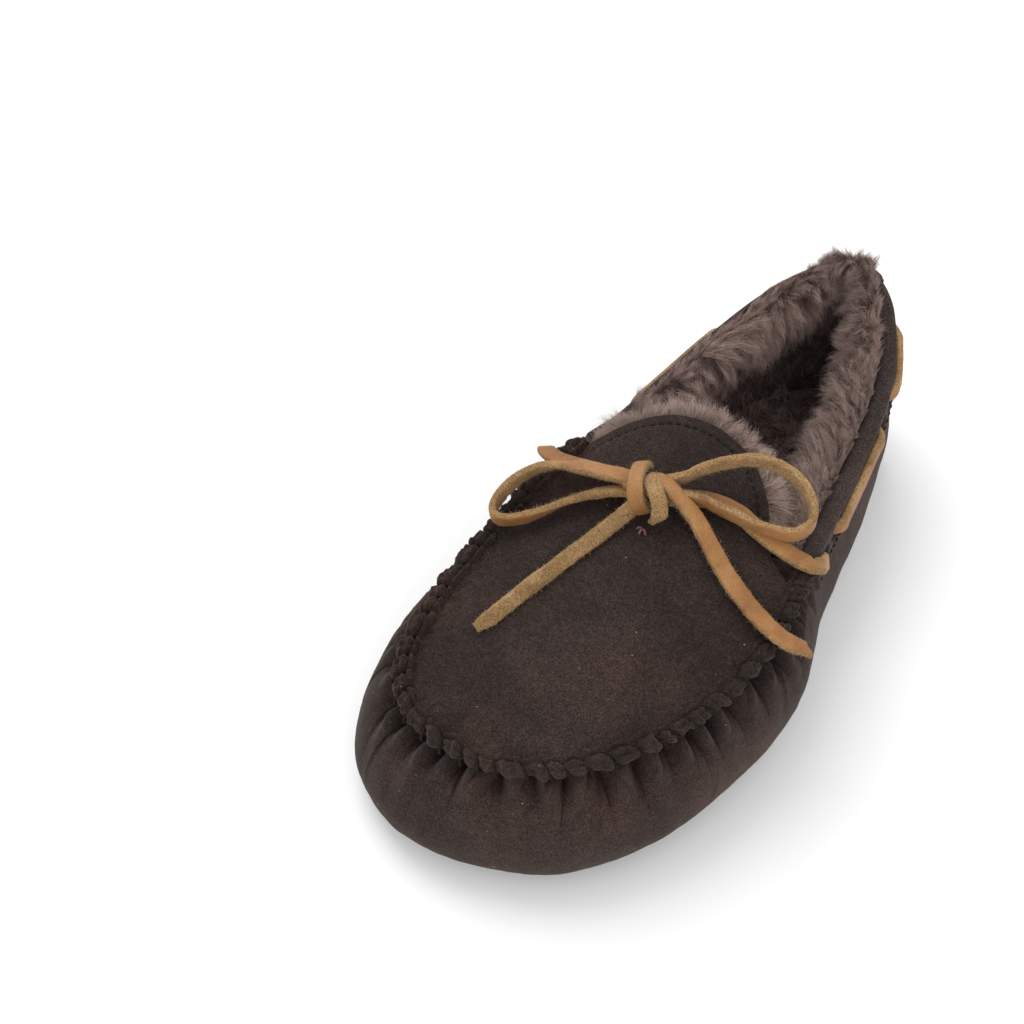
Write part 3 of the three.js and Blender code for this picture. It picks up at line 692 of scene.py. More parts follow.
def collar_lace_route():
    """The stretch the shoe holds, from the knot round the heel and back, and its width's direction."""
    front = 0.262
    u = np.linspace(front, -front * MEDIAL_SHARE, 260)
    is_lateral = np.mod(u, 1.0) < 0.5
    line = LACE_LINE + np.where(is_lateral, 0.06, -0.06) * smooth_step(collar_share(u), 0.248, 0.264)
    run = wall_point(u, line, lace_depth(u))
    sides = unit(wall_face(u, line + 0.02) - wall_face(u, line - 0.02))
    shares = np.array([0.777, 0.770, 0.761, 0.752])
    heights = np.array([0.86, 0.77, 0.75, 0.84])
    below_band = wall_point(shares, heights, np.array([2.5, -1.6, -1.7, -1.7]))
    start, end = INTO_KNOT["lead_lateral"], INTO_KNOT["lead_medial"]
    centres = even_curve([*start, *LEAD_LATERAL, *run[::4], *below_band, *LEAD_MEDIAL, *end], 900)
    across = rolled(centres, [0, 0])
    nearest = ((centres[:, None] - run[None]) ** 2).sum(-1)
    held = np.exp(-nearest.min(1) / 6)[:, None]
    return centres, unit(lerp(across, sides[nearest.argmin(1)], held))


def add_collar_lace():
    route, sides = collar_lace_route()
    outline = thong_outline()
    rings = tube_points(route, sides, THONG_WIDTH / 2, THONG_THICKNESS / 2, outline)
    rings += 0.09 * noise(rings, 1.3, 5)[..., None] * unit(rings - route[:, None])
    points, faces = capped(rings)
    is_edge = np.abs(height_of_faces(outline)) < 0.6
    kind = rough_faces(is_edge, len(route), faces[1])
    lace = make_piece("lace_round_collar", points, faces, LACE_SMOOTH, kind, [LACE_FLESH])
    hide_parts("lace_collar")
    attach(lace, "shoe")


# Where each stretch of the lace goes on inside the knot.
INTO_KNOT = {
    "loop_left": [(-6, -4.5, 73.6)], "loop_left_end": [(-9, -7.5, 70.5)],
    "loop_right": [(-4, -2.5, 74)], "loop_right_end": [(5, -1.5, 73), (0, -3.5, 72.5)],
    "tail_left": [(-4, -8, 71)],
    "tail_right": [(-6, -3.4, 74.6), (-3.5, -3, 76.6), (0, -3.2, 77), (3.2, -3.8, 76.4)],
    "lead_lateral": [(1, -2, 69.5)], "lead_medial": [(-9, -3, 69.5)],
}
KNOT_WRAP = [
    (-12.6, 3.4, 69.5), (-12.2, 2, 72.5), (-11.3, -0.6, 75.6), (-9.8, -5, 78), (-7.9, -9.2, 78.6),
    (-5.8, -12.2, 77), (-3.6, -13.4, 73.8), (-2, -12.2, 70.4),
]
KNOT_TUCK = [
    (-7, -3.6, 74.2), (-5.2, -5, 77), (-2, -7.2, 78.1), (1.3, -9.6, 77), (3.6, -11.6, 74.4),
    (3.2, -13, 71), (1.4, -13, 69.6),
]
KNOT_CORE = [(-12.5, -7.6, 71.4), (-8, -6, 72.2), (-3, -4.4, 73), (2.5, -2.6, 73.6)]


def add_knot():
    """The wrap over the middle of the bow, the tuck that locks it, and what they hold."""
    parts, kinds = [], []
    for number, (route, across, width, thickness, taper) in enumerate([
        (KNOT_WRAP, (0.84, 0.4, 0.335), 5.2, 2.4, 0.0),
        (KNOT_TUCK, (-0.5, -0.75, -0.43), 5.2, 2.9, 0.5),
        (KNOT_CORE, (0, 0, 1), 5.4, 5.4, 0.0),
    ]):
        points, faces, kind, _ = thong_mesh(
            route, across=across, seed=40 + number, taper=taper, width=width, thickness=thickness)
        keep_for_fuzz(points, faces, kind)
        parts.append((points, faces))
        kinds.append((kind, len(faces[0])))
    points, faces = joined(parts)
    kind = np.concatenate([kind[:fours] for kind, fours in kinds] + [kind[fours:] for kind, fours in kinds])
    knot = make_piece("bow_knot", points, faces, LACE_SMOOTH, kind, [LACE_FLESH])
    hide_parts("lace_knot")
    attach(knot, "shoe")
    return knot


def add_bow():
    knot = add_knot()
    inside = INTO_KNOT
    add_thong("thong_loop_left", inside["loop_left"] + LOOP_LEFT + inside["loop_left_end"],
              [0, 5, 25, 70, 90, 95, 100, 125, 150, 150], 1)
    add_thong("thong_loop_right", inside["loop_right"] + LOOP_RIGHT + inside["loop_right_end"],
              [-75, -80, -80, -85, -90, -95, -100, -100], 2)
    add_thong("thong_tail_left", inside["tail_left"] + TAIL_LEFT,
              [150, 142, 132, 128, 130], 3, taper=0.4, width=5.2)
    add_thong("thong_tail_right", inside["tail_right"] + TAIL_RIGHT,
              [-20, -12, 0, 8, 4, -5], 4, slant=0.5, taper=0.15)


add_bow()
add_collar_lace()

# ---- the suede wall and its puckered seam -------------------------------------------------

# The seam's shares; its raised ridge, in millimetres; and the pitches of its folds.
SEAM_FROM = THROAT_LATERAL - 0.014
SEAM_TO = THROAT_MEDIAL + 0.014
RIDGE = {"middle": 0.9, "half_width": 3.3, "height": 4.4, "start": 0.962, "slant": 3.6}
GATHER_PITCH = 9.6
RUFFLE_PITCH = 2.7
RUFFLE_LENGTH = 17


def seam_share(u, ahead=0.0):
    """1 along the puckered seam, easing to 0 behind the throat."""
    start, end = SEAM_FROM - ahead, SEAM_TO + ahead
    return smooth_step(u, start, start + 0.01) - smooth_step(u, end - 0.01, end)


def on_line(walked):
    return np.stack([walked, 0 * walked, 0 * walked], axis=-1)


def pucker_place(walked):
    """The whole part tells the pucker, and the rest how far across it a place lies."""
    return walked / STITCH_PITCH + 0.38 * noise(on_line(walked), 12, 11)


def pucker(walked, sharpness):
    """Which pucker a place lies in, and how high on it: 0 in the gap and 1 on the crest."""
    place = pucker_place(walked)
    index = np.floor(place)
    return index, np.abs(np.sin(np.pi * (place - index))) ** sharpness


def gather(walked):
    """The soft folds hang below the puckers and are wider apart: which one, and how high on it."""
    place = walked / GATHER_PITCH + 0.4 * noise(on_line(walked), 17, 13)
    index = np.floor(place)
    return index, np.abs(np.sin(np.pi * (place - index))) ** 1.3


def ruffle(walked):
    """How far a place belongs to the fine stacked pleats beside the throat, and how high on one."""
    past = walked - along_rim(THROAT_LATERAL - 0.004)
    window = smooth_step(past, 0, 2) * (1 - smooth_step(past, RUFFLE_LENGTH - 4, RUFFLE_LENGTH))
    return window, np.abs(np.sin(np.pi * past / RUFFLE_PITCH)) ** 0.8


def wall_detail(u, points, down):
    """How far the suede sinks behind the wall's smooth face, in millimetres."""
    walked = along_rim(u)
    index, _ = gather(walked)
    lean = (hashed(index, 3, 0) - 0.3) * 0.35
    index, crest = gather(walked + lean * down)
    _, pinched = pucker(walked - 0.25 * down, 0.55)
    window, fine = ruffle(walked)
    reach = 5.5 + 5 * hashed(index, 1, 0)
    depth = 5.2 + 2.8 * hashed(index, 2, 0)
    fall = bell(down, 1, reach) + 0.28 * np.exp(-down / 14)
    fold = (1 - crest) * depth * fall + 3.4 * (1 - pinched) * bell(down, 0, 6.5)
    fold = lerp(fold, 2.4 * (1 - fine) * bell(down, 0, 7), window)
    swell = -1.3 * bell(down, 4, 4) * crest
    long_folds = 1.3 * noise(on_line(walked), 7, 12) * smooth_step(down, 1, 6) * np.exp(-down / 16)
    creases = 0.7 * noise(points * np.array([1, 1, 0.35]), 5, 4) * np.exp(-down / 13)
    drape = 0.8 * noise(points, 24, 1) + 0.3 * noise(points, 10, 2) + 0.1 * noise(points, 4, 3)
    return (fold + swell + long_folds + creases) * seam_share(u) + drape


def wall_columns():
    """Shares round the wall, closer together along the puckered seam."""
    start, end = SEAM_FROM - 0.01, SEAM_TO + 0.01
    seam = np.linspace(start, end, 1440, endpoint=False)
    rest = np.linspace(end, 1 + start, 260, endpoint=False)
    return np.sort(np.mod(np.concatenate([seam, rest]), 1.0))


def ridge_place(u, t):
    """Where the line over the ridge lies at t, which slants along the seam like a rope's strands."""
    return along_rim(u) - RIDGE["slant"] * (t - 0.25)


def ridge_ring(u, t):
    """One line of the raised seam, t of the way over it from the wall to the plug."""
    rim, inward = RIM.at(u), inward_from_rim(u)
    walked = ridge_place(u, t)
    index, crest = pucker(walked, 0.5)
    window, fine = ruffle(walked)
    crest = lerp(crest, 0.35 + 0.65 * fine, window)
    across = RIDGE["middle"] - RIDGE["half_width"] * np.cos(np.pi * t)
    wander = t + 0.05 * noise(on_line(walked), 4, 14)
    groove = 1 - 0.45 * bell(wander, 0.66, 0.07) - 0.22 * bell(wander, 0.36, 0.06)
    medial = smooth_step(u, 0.5, 0.62)
    tall = (0.75 + 0.45 * hashed(index, 5, 0)) * (1 + 0.5 * medial)
    rise = RIDGE["height"] * tall * np.sin(np.pi * t) ** 0.55 * groove
    flat = rim + inward * across
    flat[:, 2] = lerp(rim[:, 2] - 0.9, dome_height(flat[:, 0], flat[:, 1]) - 0.6, smooth_step(t, 0.2, 1))
    arch = flat + UP * rise[:, None]
    centre = rim + inward * RIDGE["middle"] + UP * 0.2
    pinch = lerp(0.72, 0.35, smooth_step(t, 0.55, 0.95)) * (1 - crest)
    arch = arch + (centre - arch) * pinch[:, None]
    twisted = np.stack([walked, np.full(walked.shape, 2.2 * t), 0 * walked], axis=-1)
    rough = 0.5 * noise(arch, 2.3, 6) + 0.5 * noise(arch, 1.1, 7) + 0.9 * noise(twisted, 1.5, 15)
    return arch + rough[:, None] * unit(arch - centre)


def flap_ring(u, share):
    """One line of the suede that goes on inwards under the plug and the throat's corner."""
    rim, inward = RIM.at(u), inward_from_rim(u)
    reach = lerp(13, 5, smooth_step(to_throat(u), THROAT_EASE, 0.035))
    spot = rim + inward * lerp(4.2, reach, share)[:, None]
    spot[:, 2] = dome_height(spot[:, 0], spot[:, 1]) - 2.6
    return spot


def add_wall():
    rows, ridge_rows, flap_rows = 44, 16, 5
    u = wall_columns()
    seam = seam_share(u)
    top = lerp(BAND_FOOT + 0.01, RIDGE["start"], seam_share(u, ahead=0.016))
    climb = 1 - (1 - np.linspace(0, 1, rows)) ** 1.45
    v = climb[:, None] * top[None, :]
    uu = np.broadcast_to(u, v.shape)
    face = wall_face(uu, v)
    segment = np.linalg.norm(np.diff(face, axis=0), axis=-1)
    height = np.concatenate([np.zeros((1, len(u))), np.cumsum(segment, axis=0)])
    down = height[-1:] - height
    depth = wall_detail(uu, face, down) * smooth_step(v, 0.02, 0.12)
    wall = face - wall_normal(uu, v) * depth[..., None]
    over = [ridge_ring(u, step / ridge_rows) for step in range(1, ridge_rows + 1)]
    over += [flap_ring(u, step / flap_rows) for step in range(1, flap_rows + 1)]
    rings = [lerp(wall[-1], ring, seam[:, None])[None] for ring in over]
    points = np.concatenate([wall, *rings])
    piece = make_piece("suede_wall", points, grid_faces(len(points), len(u), closed=True), SUEDE_DARK)
    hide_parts("vamp_wall")
    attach(piece, "shoe")


# ---- the plug and the tongue: one piece of suede ------------------------------------------


def seam_line(inset, count):
    """The plug's edge beside the seam, seen from above."""
    u = np.linspace(THROAT_LATERAL + THROAT_EASE, THROAT_MEDIAL - THROAT_EASE, count)
    return (RIM.at(u) + inward_from_rim(u) * inset)[:, :2]


def tongue_line(grow, count):
    edge = np.array(TONGUE_EDGE, float)
    away = unit(edge - np.array([-1.0, 0.0]))
    return even_curve(edge + away * grow, count)


def plug_sheet_points(shares, outline, lift):
    spots = PLUG_CENTRE + shares[:, None, None] * (outline - PLUG_CENTRE)[None]
    height = dome_height(spots[..., 0], spots[..., 1]) + lift
    return np.concatenate([spots, height[..., None]], axis=-1)


def add_plug():
    """The top sheet, its turned edge, and a strip of its underside."""
    seam, edge = seam_line(PLUG_INSET, 420), tongue_line(0, 150)[::-1][1:-1]
    outline = np.concatenate([seam, edge])
    is_edge = np.concatenate([np.zeros(len(seam)), np.ones(len(edge))])
    shares = 1 - (1 - np.linspace(0.012, 1, 84)) ** 1.5
    points = plug_sheet_points(shares, outline, 0)
    from_edge = (1 - shares)[:, None] * np.linalg.norm(outline - PLUG_CENTRE, axis=1)[None]
    start, end = along_rim(THROAT_LATERAL + THROAT_EASE), along_rim(THROAT_MEDIAL - THROAT_EASE)
    walked = np.concatenate([np.linspace(start, end, len(seam)), np.zeros(len(edge))])
    wave = np.abs(np.sin(np.pi * walked / STITCH_PITCH))
    pulled = (1 - is_edge) * (0.9 + 0.5 * wave) * np.exp(-from_edge / 2.2)
    dimple = -(1 - is_edge) * 0.5 * (1 - wave) * bell(from_edge, 4.5, 2.2)
    groove = -is_edge * 0.35 * bell(from_edge, 3.4, 0.8)
    drape = 0.5 * noise(points, 30, 21) + 0.16 * noise(points, 9, 22) + 0.05 * noise(points, 3.5, 23)
    points[..., 2] += pulled + dimple + groove + drape
    rim_top = points[-1]
    away = np.concatenate([unit(outline - PLUG_CENTRE), np.zeros((len(outline), 1))], axis=1)
    turned = [rim_top + away * out - UP * drop for out, drop in ((0.45, 0.35), (0.6, 0.8), (0.45, 1.25))]
    under = plug_sheet_points(np.linspace(1, 0.86, 6), outline, -SUEDE)
    points = np.concatenate([points, np.array(turned), under])
    rows, columns = points.shape[:2]
    flat = np.concatenate([points.reshape(-1, 3), points[0].mean(0)[None]])
    around = np.arange(columns)
    middle = np.stack([(around + 1) % columns, around, np.full(columns, rows * columns)], axis=1)
    faces = [grid_faces(rows, columns, closed=True)[:, ::-1], middle[:, ::-1]]
    piece = make_piece("plug_and_tongue", flat, faces, SUEDE_DARK)
    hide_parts("plug", "tongue")
    bend(piece)


def bend(piece):
    """Bakes a piece's place into its mesh."""
    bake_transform(piece)


# ---- threads ------------------------------------------------------------------------------


def twisted(route, radius, pitch, plies=2, sides=7, step=0.4):
    """A twisted thread along a route, as a list of closed tubes."""
    count = max(int(length_of(route) / step), 6)
    centres = even_curve(route, count)
    tangents = unit(np.gradient(centres, axis=0))
    side = unit(np.cross(tangents, UP + 0.01))
    lift = np.cross(side, tangents)
    walked = np.linspace(0, length_of(route), count)
    outline = circle(sides)
    parts = []
    for ply in range(plies):
        angle = 2 * np.pi * (walked / pitch + ply / plies)
        offset = side * np.cos(angle)[:, None] + lift * np.sin(angle)[:, None]
        rings = tube_points(centres + offset * radius * 0.5, side, radius * 0.62, radius * 0.62, outline)
        parts.append(capped(rings))
    return parts


def add_whip_stitch():
    """Each stitch crosses the ridge at a slant and sinks into the suede on both sides."""
    start, end = along_rim(THROAT_LATERAL + 0.01), along_rim(THROAT_MEDIAL - 0.01)
    place = pucker_place(RIM_WALKED)
    first, last = np.interp([start, end], RIM_WALKED, place)
    parts = []
    for gap in np.arange(math.ceil(first), math.floor(last) + 1):
        walked = np.interp(gap, place, RIM_WALKED)
        route = []
        for t in np.linspace(0, 1, 9):
            u = np.interp(walked + RIDGE["slant"] * (t - 0.25), RIM_WALKED, RIM_SHARES)
            rim, inward = RIM.at(np.array(u)), inward_from_rim(np.array(u))
            across = RIDGE["middle"] - (RIDGE["half_width"] + 0.2) * np.cos(np.pi * t)
            rise = RIDGE["height"] * 0.5 * np.sin(np.pi * t) ** 0.6 - 0.5
            route.append(rim + inward * across + UP * rise)
        parts += twisted(np.array(route), 0.5, 2.2)
    points, faces = joined(parts)
    piece = make_piece("whip_stitches", points, faces, THREAD)
    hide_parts("plug_whip_stitch")
    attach(piece, "shoe")


TACK_LOBE = [(0.1, 0.2), (0.7, 1.1), (1.5, 0.8), (1.8, -0.2)]      # reach and rise of one loop of thread


def add_tack():
    """The knotted end of a thread that holds the bow to the plug."""
    x, y = 0.0, -14.8
    base = np.array([x, y, dome_height(x, y) + 0.4])
    parts = []
    for degrees in (200, 265, 330):
        angle = math.radians(degrees)
        out = np.array([math.cos(angle), math.sin(angle), 0.0])
        lobe = np.array([out * reach + UP * rise for reach, rise in TACK_LOBE])
        parts += twisted(base + lobe, 0.5, 1.6)
    points, faces = joined(parts)
    piece = make_piece("bow_tack", points, faces, TACK)
    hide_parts("lace_tack")
    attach(piece, "shoe")


def dashes(route, lifts, pitch, share, radius, material, name):
    """A row of short straight stitches whose ends dip into the suede."""
    total = length_of(route)
    fine = even_curve(route, 800)
    up = even_curve(lifts, 800)
    parts = []
    outline = circle(6)
    for number in range(int(total / pitch)):
        shares = (number + 0.5 + np.linspace(-share / 2, share / 2, 7)) * pitch / total
        index = (shares * 799).astype(int)
        sink = np.array([-0.7, -0.1, 0.15, 0.2, 0.15, -0.1, -0.7])[:, None]
        centres = fine[index] + unit(up[index]) * sink
        across = np.cross(unit(np.gradient(centres, axis=0)), up[index])
        parts.append(capped(tube_points(centres, across, radius, radius, outline)))
    points, faces = joined(parts)
    piece = make_piece(name, points, faces, material)
    return piece


def add_top_stitching():
    edge = tongue_line(-3, 200)
    edge = edge[edge[:, 1] > HINGE_Y + 2]
    row = np.concatenate([edge, (dome_height(edge[:, 0], edge[:, 1]) - 0.1)[:, None]], axis=1)
    stitches = dashes(row, np.tile(UP, (len(row), 1)), 3.0, 0.62, 0.33, THREAD, "tongue_stitches")
    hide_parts("tongue_stitching")
    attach(stitches, "tongue")
    for side, start, end in (("lateral", 0.012, 0.264), ("medial", 0.988, 0.776)):
        u = np.linspace(start, end, 120)
        row = wall_point(u, np.full(120, BAND_FOOT + 0.03), np.full(120, -1.15))
        lifts = wall_normal(u, np.full(120, BAND_FOOT + 0.03))
        stitches = dashes(row, lifts, 3.0, 0.66, 0.32, THREAD, f"collar_stitches_{side}")
        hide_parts(f"collar_stitching_{side}")
        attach(stitches, "shoe")


# ---- the collar band ----------------------------------------------------------------------


def lateral_side(u):
    """0 on the medial side of the collar and 1 on the lateral side, where it is rolled wider."""
    return smooth_step(np.mod(u + 0.5, 1.0) - 0.5, -0.03, 0.03)


def slot_dip(u, v):
    """How deep the band is cut at a place, from 0 to 1."""
    along = collar_share(u)
    dip = np.zeros(np.shape(u))
    for number, slot in enumerate(SLOTS_LATERAL):
        if number == len(SLOTS_LATERAL) - 1 and np.mod(np.mean(u), 1.0) > 0.5:
            break                # on the medial side the lace comes out under the band's end
        across = (along - slot) / 0.0125
        high = (v - LACE_LINE) / 0.052
        dip = np.maximum(dip, 1 - smooth_step(across**2 + high**2, 0.62, 1.0))
    return dip


# The band's section: share up the wall and depth, from its foot over the top edge.
BAND_PROFILE = [
    (0.788, 1.0), (0.79, -0.2), (0.8, -0.95), (0.812, -1.15), (0.85, -1.0), (0.9, -1.0), (0.95, -1.1),
    (0.985, -1.2), (1.005, -0.95), (1.018, 0.2), (1.021, 2.0), (1.014, 3.8), (0.995, 5.0), (0.96, 5.6),
]


def add_band(side, start, end):
    columns, rows = 560, 72
    u = np.linspace(start, end, columns)[None, :]
    section = open_curve(BAND_PROFILE, np.linspace(0, 1, rows))
    v, depth = section[:, :1], section[:, 1:]
    depth = np.where(depth > 0, depth * lerp(0.5, 1, lateral_side(u)), depth)
    uu, vv = np.broadcast_arrays(u, v)
    face = wall_face(uu, vv)
    on_face = smooth_step(vv, 0.8, 0.82) * (depth < 0)
    wrinkle = 0.22 * noise(face, 11, 31) + 0.1 * noise(face, 4, 32)
    pillow = -0.35 * np.sin(np.pi * np.clip((vv - 0.835) / 0.14, 0, 1)) * on_face
    groove = 0.3 * bell(vv, BAND_FOOT + 0.03, 0.006) * on_face
    cut = 3.6 * slot_dip(uu, vv) * on_face
    total = depth + wrinkle + pillow + groove + cut
    to_throat_end = np.arange(columns)[::-1][None, :]
    total = total + 2.2 * (1 - smooth_step(to_throat_end, 0, 8))
    points = face - wall_normal(uu, vv) * total[..., None]
    piece = make_piece(f"suede_band_{side}", points, grid_faces(rows, columns), SUEDE_BAND)
    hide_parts(f"collar_band_{side}")
    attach(piece, "shoe")


# Under the ball of the foot and the heel: the first groove, their count, half width and middle.
TREAD_GROUPS = [(-98, 9, 31, 2), (56, 6, 20, 3)]
# The sole's edge, from the bottom up: how far in from the outline, and height.
SOLE_EDGE = [
    (0.9, 0.0), (0.25, 0.3), (0.0, 1.0), (-0.1, 2.4), (0.25, 2.7), (0.25, 3.0), (-0.05, 3.3), (0.0, 4.4),
    (0.4, 4.9), (1.2, 5.0), (14.0, 5.0),
]


def tread(spots):
    """How far the bottom of the sole is cut in at each spot, in millimetres."""
    x, y = spots[..., 0], spots[..., 1]
    cut = np.zeros(x.shape)
    for first, count, half_width, middle in TREAD_GROUPS:
        along = np.abs(np.mod(y - first + TREAD_PITCH / 2, TREAD_PITCH) - TREAD_PITCH / 2)
        inside = (y > first - 3) & (y < first + (count - 1) * TREAD_PITCH + 3)
        short = 1 - smooth_step(np.abs(x - middle), half_width - 4, half_width)
        cut = np.maximum(cut, inside * (1 - smooth_step(along, 1.2, 1.8)) * short)
    return cut * TREAD_DEPTH


def add_outsole():
    """A rubber sole with a rounded edge, a line round it, and cross grooves underneath."""
    count = 400
    u = np.arange(count) / count
    edge = WIDE.at(u) - outward_in_plan(u) * OUTSOLE_INSET
    rings = []
    for share in np.linspace(0.01, 0.985, 110):
        ring = SOLE_CENTRE + (edge - SOLE_CENTRE) * share
        ring[:, 2] = tread(ring)
        rings.append(ring)
    for inset, height in SOLE_EDGE:
        ring = WIDE.at(u) - outward_in_plan(u) * (OUTSOLE_INSET + inset)
        ring[:, 2] = height
        rings.append(ring)
    faces = grid_faces(len(rings), count, closed=True)[:, ::-1]
    sole = make_piece("rubber_sole", np.array(rings), faces, RUBBER)
    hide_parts("outsole")
    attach(sole, "shoe")


# The heel strip's section: share up the wall and depth, from the sole over the band's top edge.
HEEL_PROFILE = [
    (0.1, 1.3), (0.115, -2.3), (0.2, -2.9), (0.4, -2.9), (0.6, -2.9), (0.8, -2.9), (0.95, -2.9),
    (0.995, -2.7), (1.02, -1.4), (1.033, 0.4), (1.036, 2.4), (1.028, 4.4), (1.005, 5.9), (0.96, 6.4),
]
HEEL_HALF = 0.017      # half the strip's width, as a share of the way round the shoe
HEEL_SEAM = 0.78       # where its stitches run, from 0 in its middle to 1 at its edge


def add_heel_patch():
    """The strip down the back of the heel, over the top edge and the ends of both bands."""
    columns, rows = 60, 150
    across = np.linspace(-1, 1, columns)[None, :]
    section = open_curve(HEEL_PROFILE, np.linspace(0, 1, rows))
    edge = np.abs(across) ** 6
    over = smooth_step(section[:, :1], 0.97, 1.03)
    v = section[:, :1] - 0.012 * edge * over
    u = HEEL_HALF * across + 0 * v
    depth = section[:, 1:] + 2.4 * edge * (1 - over) + 0.3 * bell(np.abs(across), HEEL_SEAM, 0.07)
    face = wall_face(u, v)
    depth = depth + 0.15 * noise(face, 8, 33)
    points = face - wall_normal(u, v) * depth[..., None]
    piece = make_piece("heel_strip", points, grid_faces(rows, columns), SUEDE_BAND)
    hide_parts("heel_patch")
    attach(piece, "shoe")


def add_heel_stitching():
    """Two rows of stitches down the heel strip, in the lines pressed into it."""
    v = np.linspace(0.17, 0.96, 120)
    for side, across in (("lateral", HEEL_SEAM), ("medial", -HEEL_SEAM)):
        u = np.full(120, HEEL_HALF * across)
        row = wall_point(u, v, np.full(120, -2.15))
        stitches = dashes(row, wall_normal(u, v), 3.0, 0.66, 0.32, THREAD, f"heel_stitches_{side}")
        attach(stitches, "shoe")


add_wall()
add_plug()
add_whip_stitch()
add_tack()
add_top_stitching()
add_band("lateral", 0.003, THROAT_LATERAL - THROAT_EASE)
add_band("medial", 0.997, THROAT_MEDIAL + THROAT_EASE)
add_heel_patch()
add_heel_stitching()
add_outsole()

# ---- the fleece ---------------------------------------------------------------------------

QUARTER_FROM = THROAT_MEDIAL + THROAT_EASE - 1
QUARTER_TO = THROAT_LATERAL - THROAT_EASE

# The fleece's section: share up the wall and depth, from the collar's edge over the top and down.
FLEECE_PATH = [
    (0.96, 5.2), (0.99, 5.3), (1.03, 6.2), (1.068, 8.6), (1.078, 11.6), (1.052, 14.6), (0.99, 16.5),
    (0.9, 16.7), (0.8, 15), (0.65, 12.6), (0.45, 11.4), (0.2, 11),
]
FLEECE_FROM = 5.2         # the depth at which it starts, on the lateral and the medial side
FLEECE_FROM_MEDIAL = 2.7


def fleece_surface(u, w):
    """A point on the collar fleece, w of the way over the top edge and down inside."""
    u, w = np.broadcast_arrays(np.asarray(u, float), np.asarray(w, float))
    section = open_curve(FLEECE_PATH, w)
    full = smooth_step(to_throat(u), 0.005, 0.09)
    heel = smooth_step(collar_share(u), 0, 0.09)
    side = lateral_side(u)
    rise = np.where(section[..., 0] > 1, lerp(2.2, lerp(1.5, 1, side), heel), 1)
    v = 1 + (section[..., 0] - 1) * lerp(0.7, 1, full) * rise
    thick = (section[..., 1] - FLEECE_FROM) * lerp(0.66, 1, full) * lerp(0.55, 1, heel)
    depth = lerp(FLEECE_FROM_MEDIAL, FLEECE_FROM, side) + thick
    points = wall_point(u, v, depth)
    lumps = 1.9 * noise(points, 11, 51) + 1.0 * noise(points, 5, 52)
    out = np.cross(wall_normal(u, v), unit(wall_face(u + 0.002, v) - wall_face(u - 0.002, v)))
    window = smooth_step(w, 0.1, 0.3) * (1 - smooth_step(w, 0.55, 0.8))
    return points - out * (window * lumps)[..., None]


def surface_frame(surface, u, w):
    """Points, the way along, the way onward and the way out, on a fleece surface."""
    here = surface(u, w)
    along = surface(u + 0.001, w) - surface(u - 0.001, w)
    onward = surface(u, w + 0.004) - surface(u, w - 0.004)
    out = unit(np.cross(onward, along))
    return here, along / 0.002, onward / 0.008, out


FIBRE_CORNERS = (0.0, 2.0944, 4.1888)      # a fibre is three-sided: thirds of a turn, in radians


def strands(name, roots, leads, bends, waves, lengths, widths, tones, body, segments=5, finishes=None):
    """Tapered fibres: each leaves its root along leads, bends and waves towards its tip."""
    count = len(roots)
    t = np.linspace(0, 1, segments + 1)[None, :, None]
    side = unit(np.cross(leads, UP + 0.05))
    lift = np.cross(side, leads)
    path = roots[:, None] + lengths[:, None, None] * (leads[:, None] * t + bends[:, None] * t**2)
    swing = np.sin(2 * np.pi * (waves[:, None, :1] * t + waves[:, None, 1:2])) * waves[:, None, 2:] * t
    path = path + side[:, None] * swing + lift[:, None] * np.roll(swing, 1, axis=0) * 0.4
    taper = (1 - t**1.6) * widths[:, None, None]
    corners = []
    for angle in FIBRE_CORNERS:
        direction = side * math.cos(angle) + lift * math.sin(angle)
        corners.append(path[:, :-1] + direction[:, None] * taper[:, :-1])
    rings = np.stack(corners, axis=2)
    points = np.concatenate([rings.reshape(count, -1, 3), path[:, -1:]], axis=1)
    per = segments * 3 + 1
    base = np.arange(count)[:, None, None] * per
    tube = base + grid_faces(segments, 3, closed=True)[None]
    last = (segments - 1) * 3
    tip = base + np.array([[last + k, last + (k + 1) % 3, per - 1] for k in range(3)])[None]
    # Lower segments take the darker tones: painted shade towards the root.
    level = np.repeat(np.arange(segments - 1), 3)[None] * (3.4 / segments)
    four_kind = np.clip(np.round(level + tones[:, None]), 0, 3)
    tip_kind = np.clip(np.round(np.full((count, 3), 3.0) + tones[:, None]), 0, 3)
    kind = np.concatenate([four_kind.ravel(), tip_kind.ravel()])
    finishes = finishes or FIBRES
    faces = [tube.reshape(-1, 4), tip.reshape(-1, 3)]
    piece = make_piece(name, points, faces, finishes[0], kind, finishes[1:])
    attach(piece, body)
    return piece


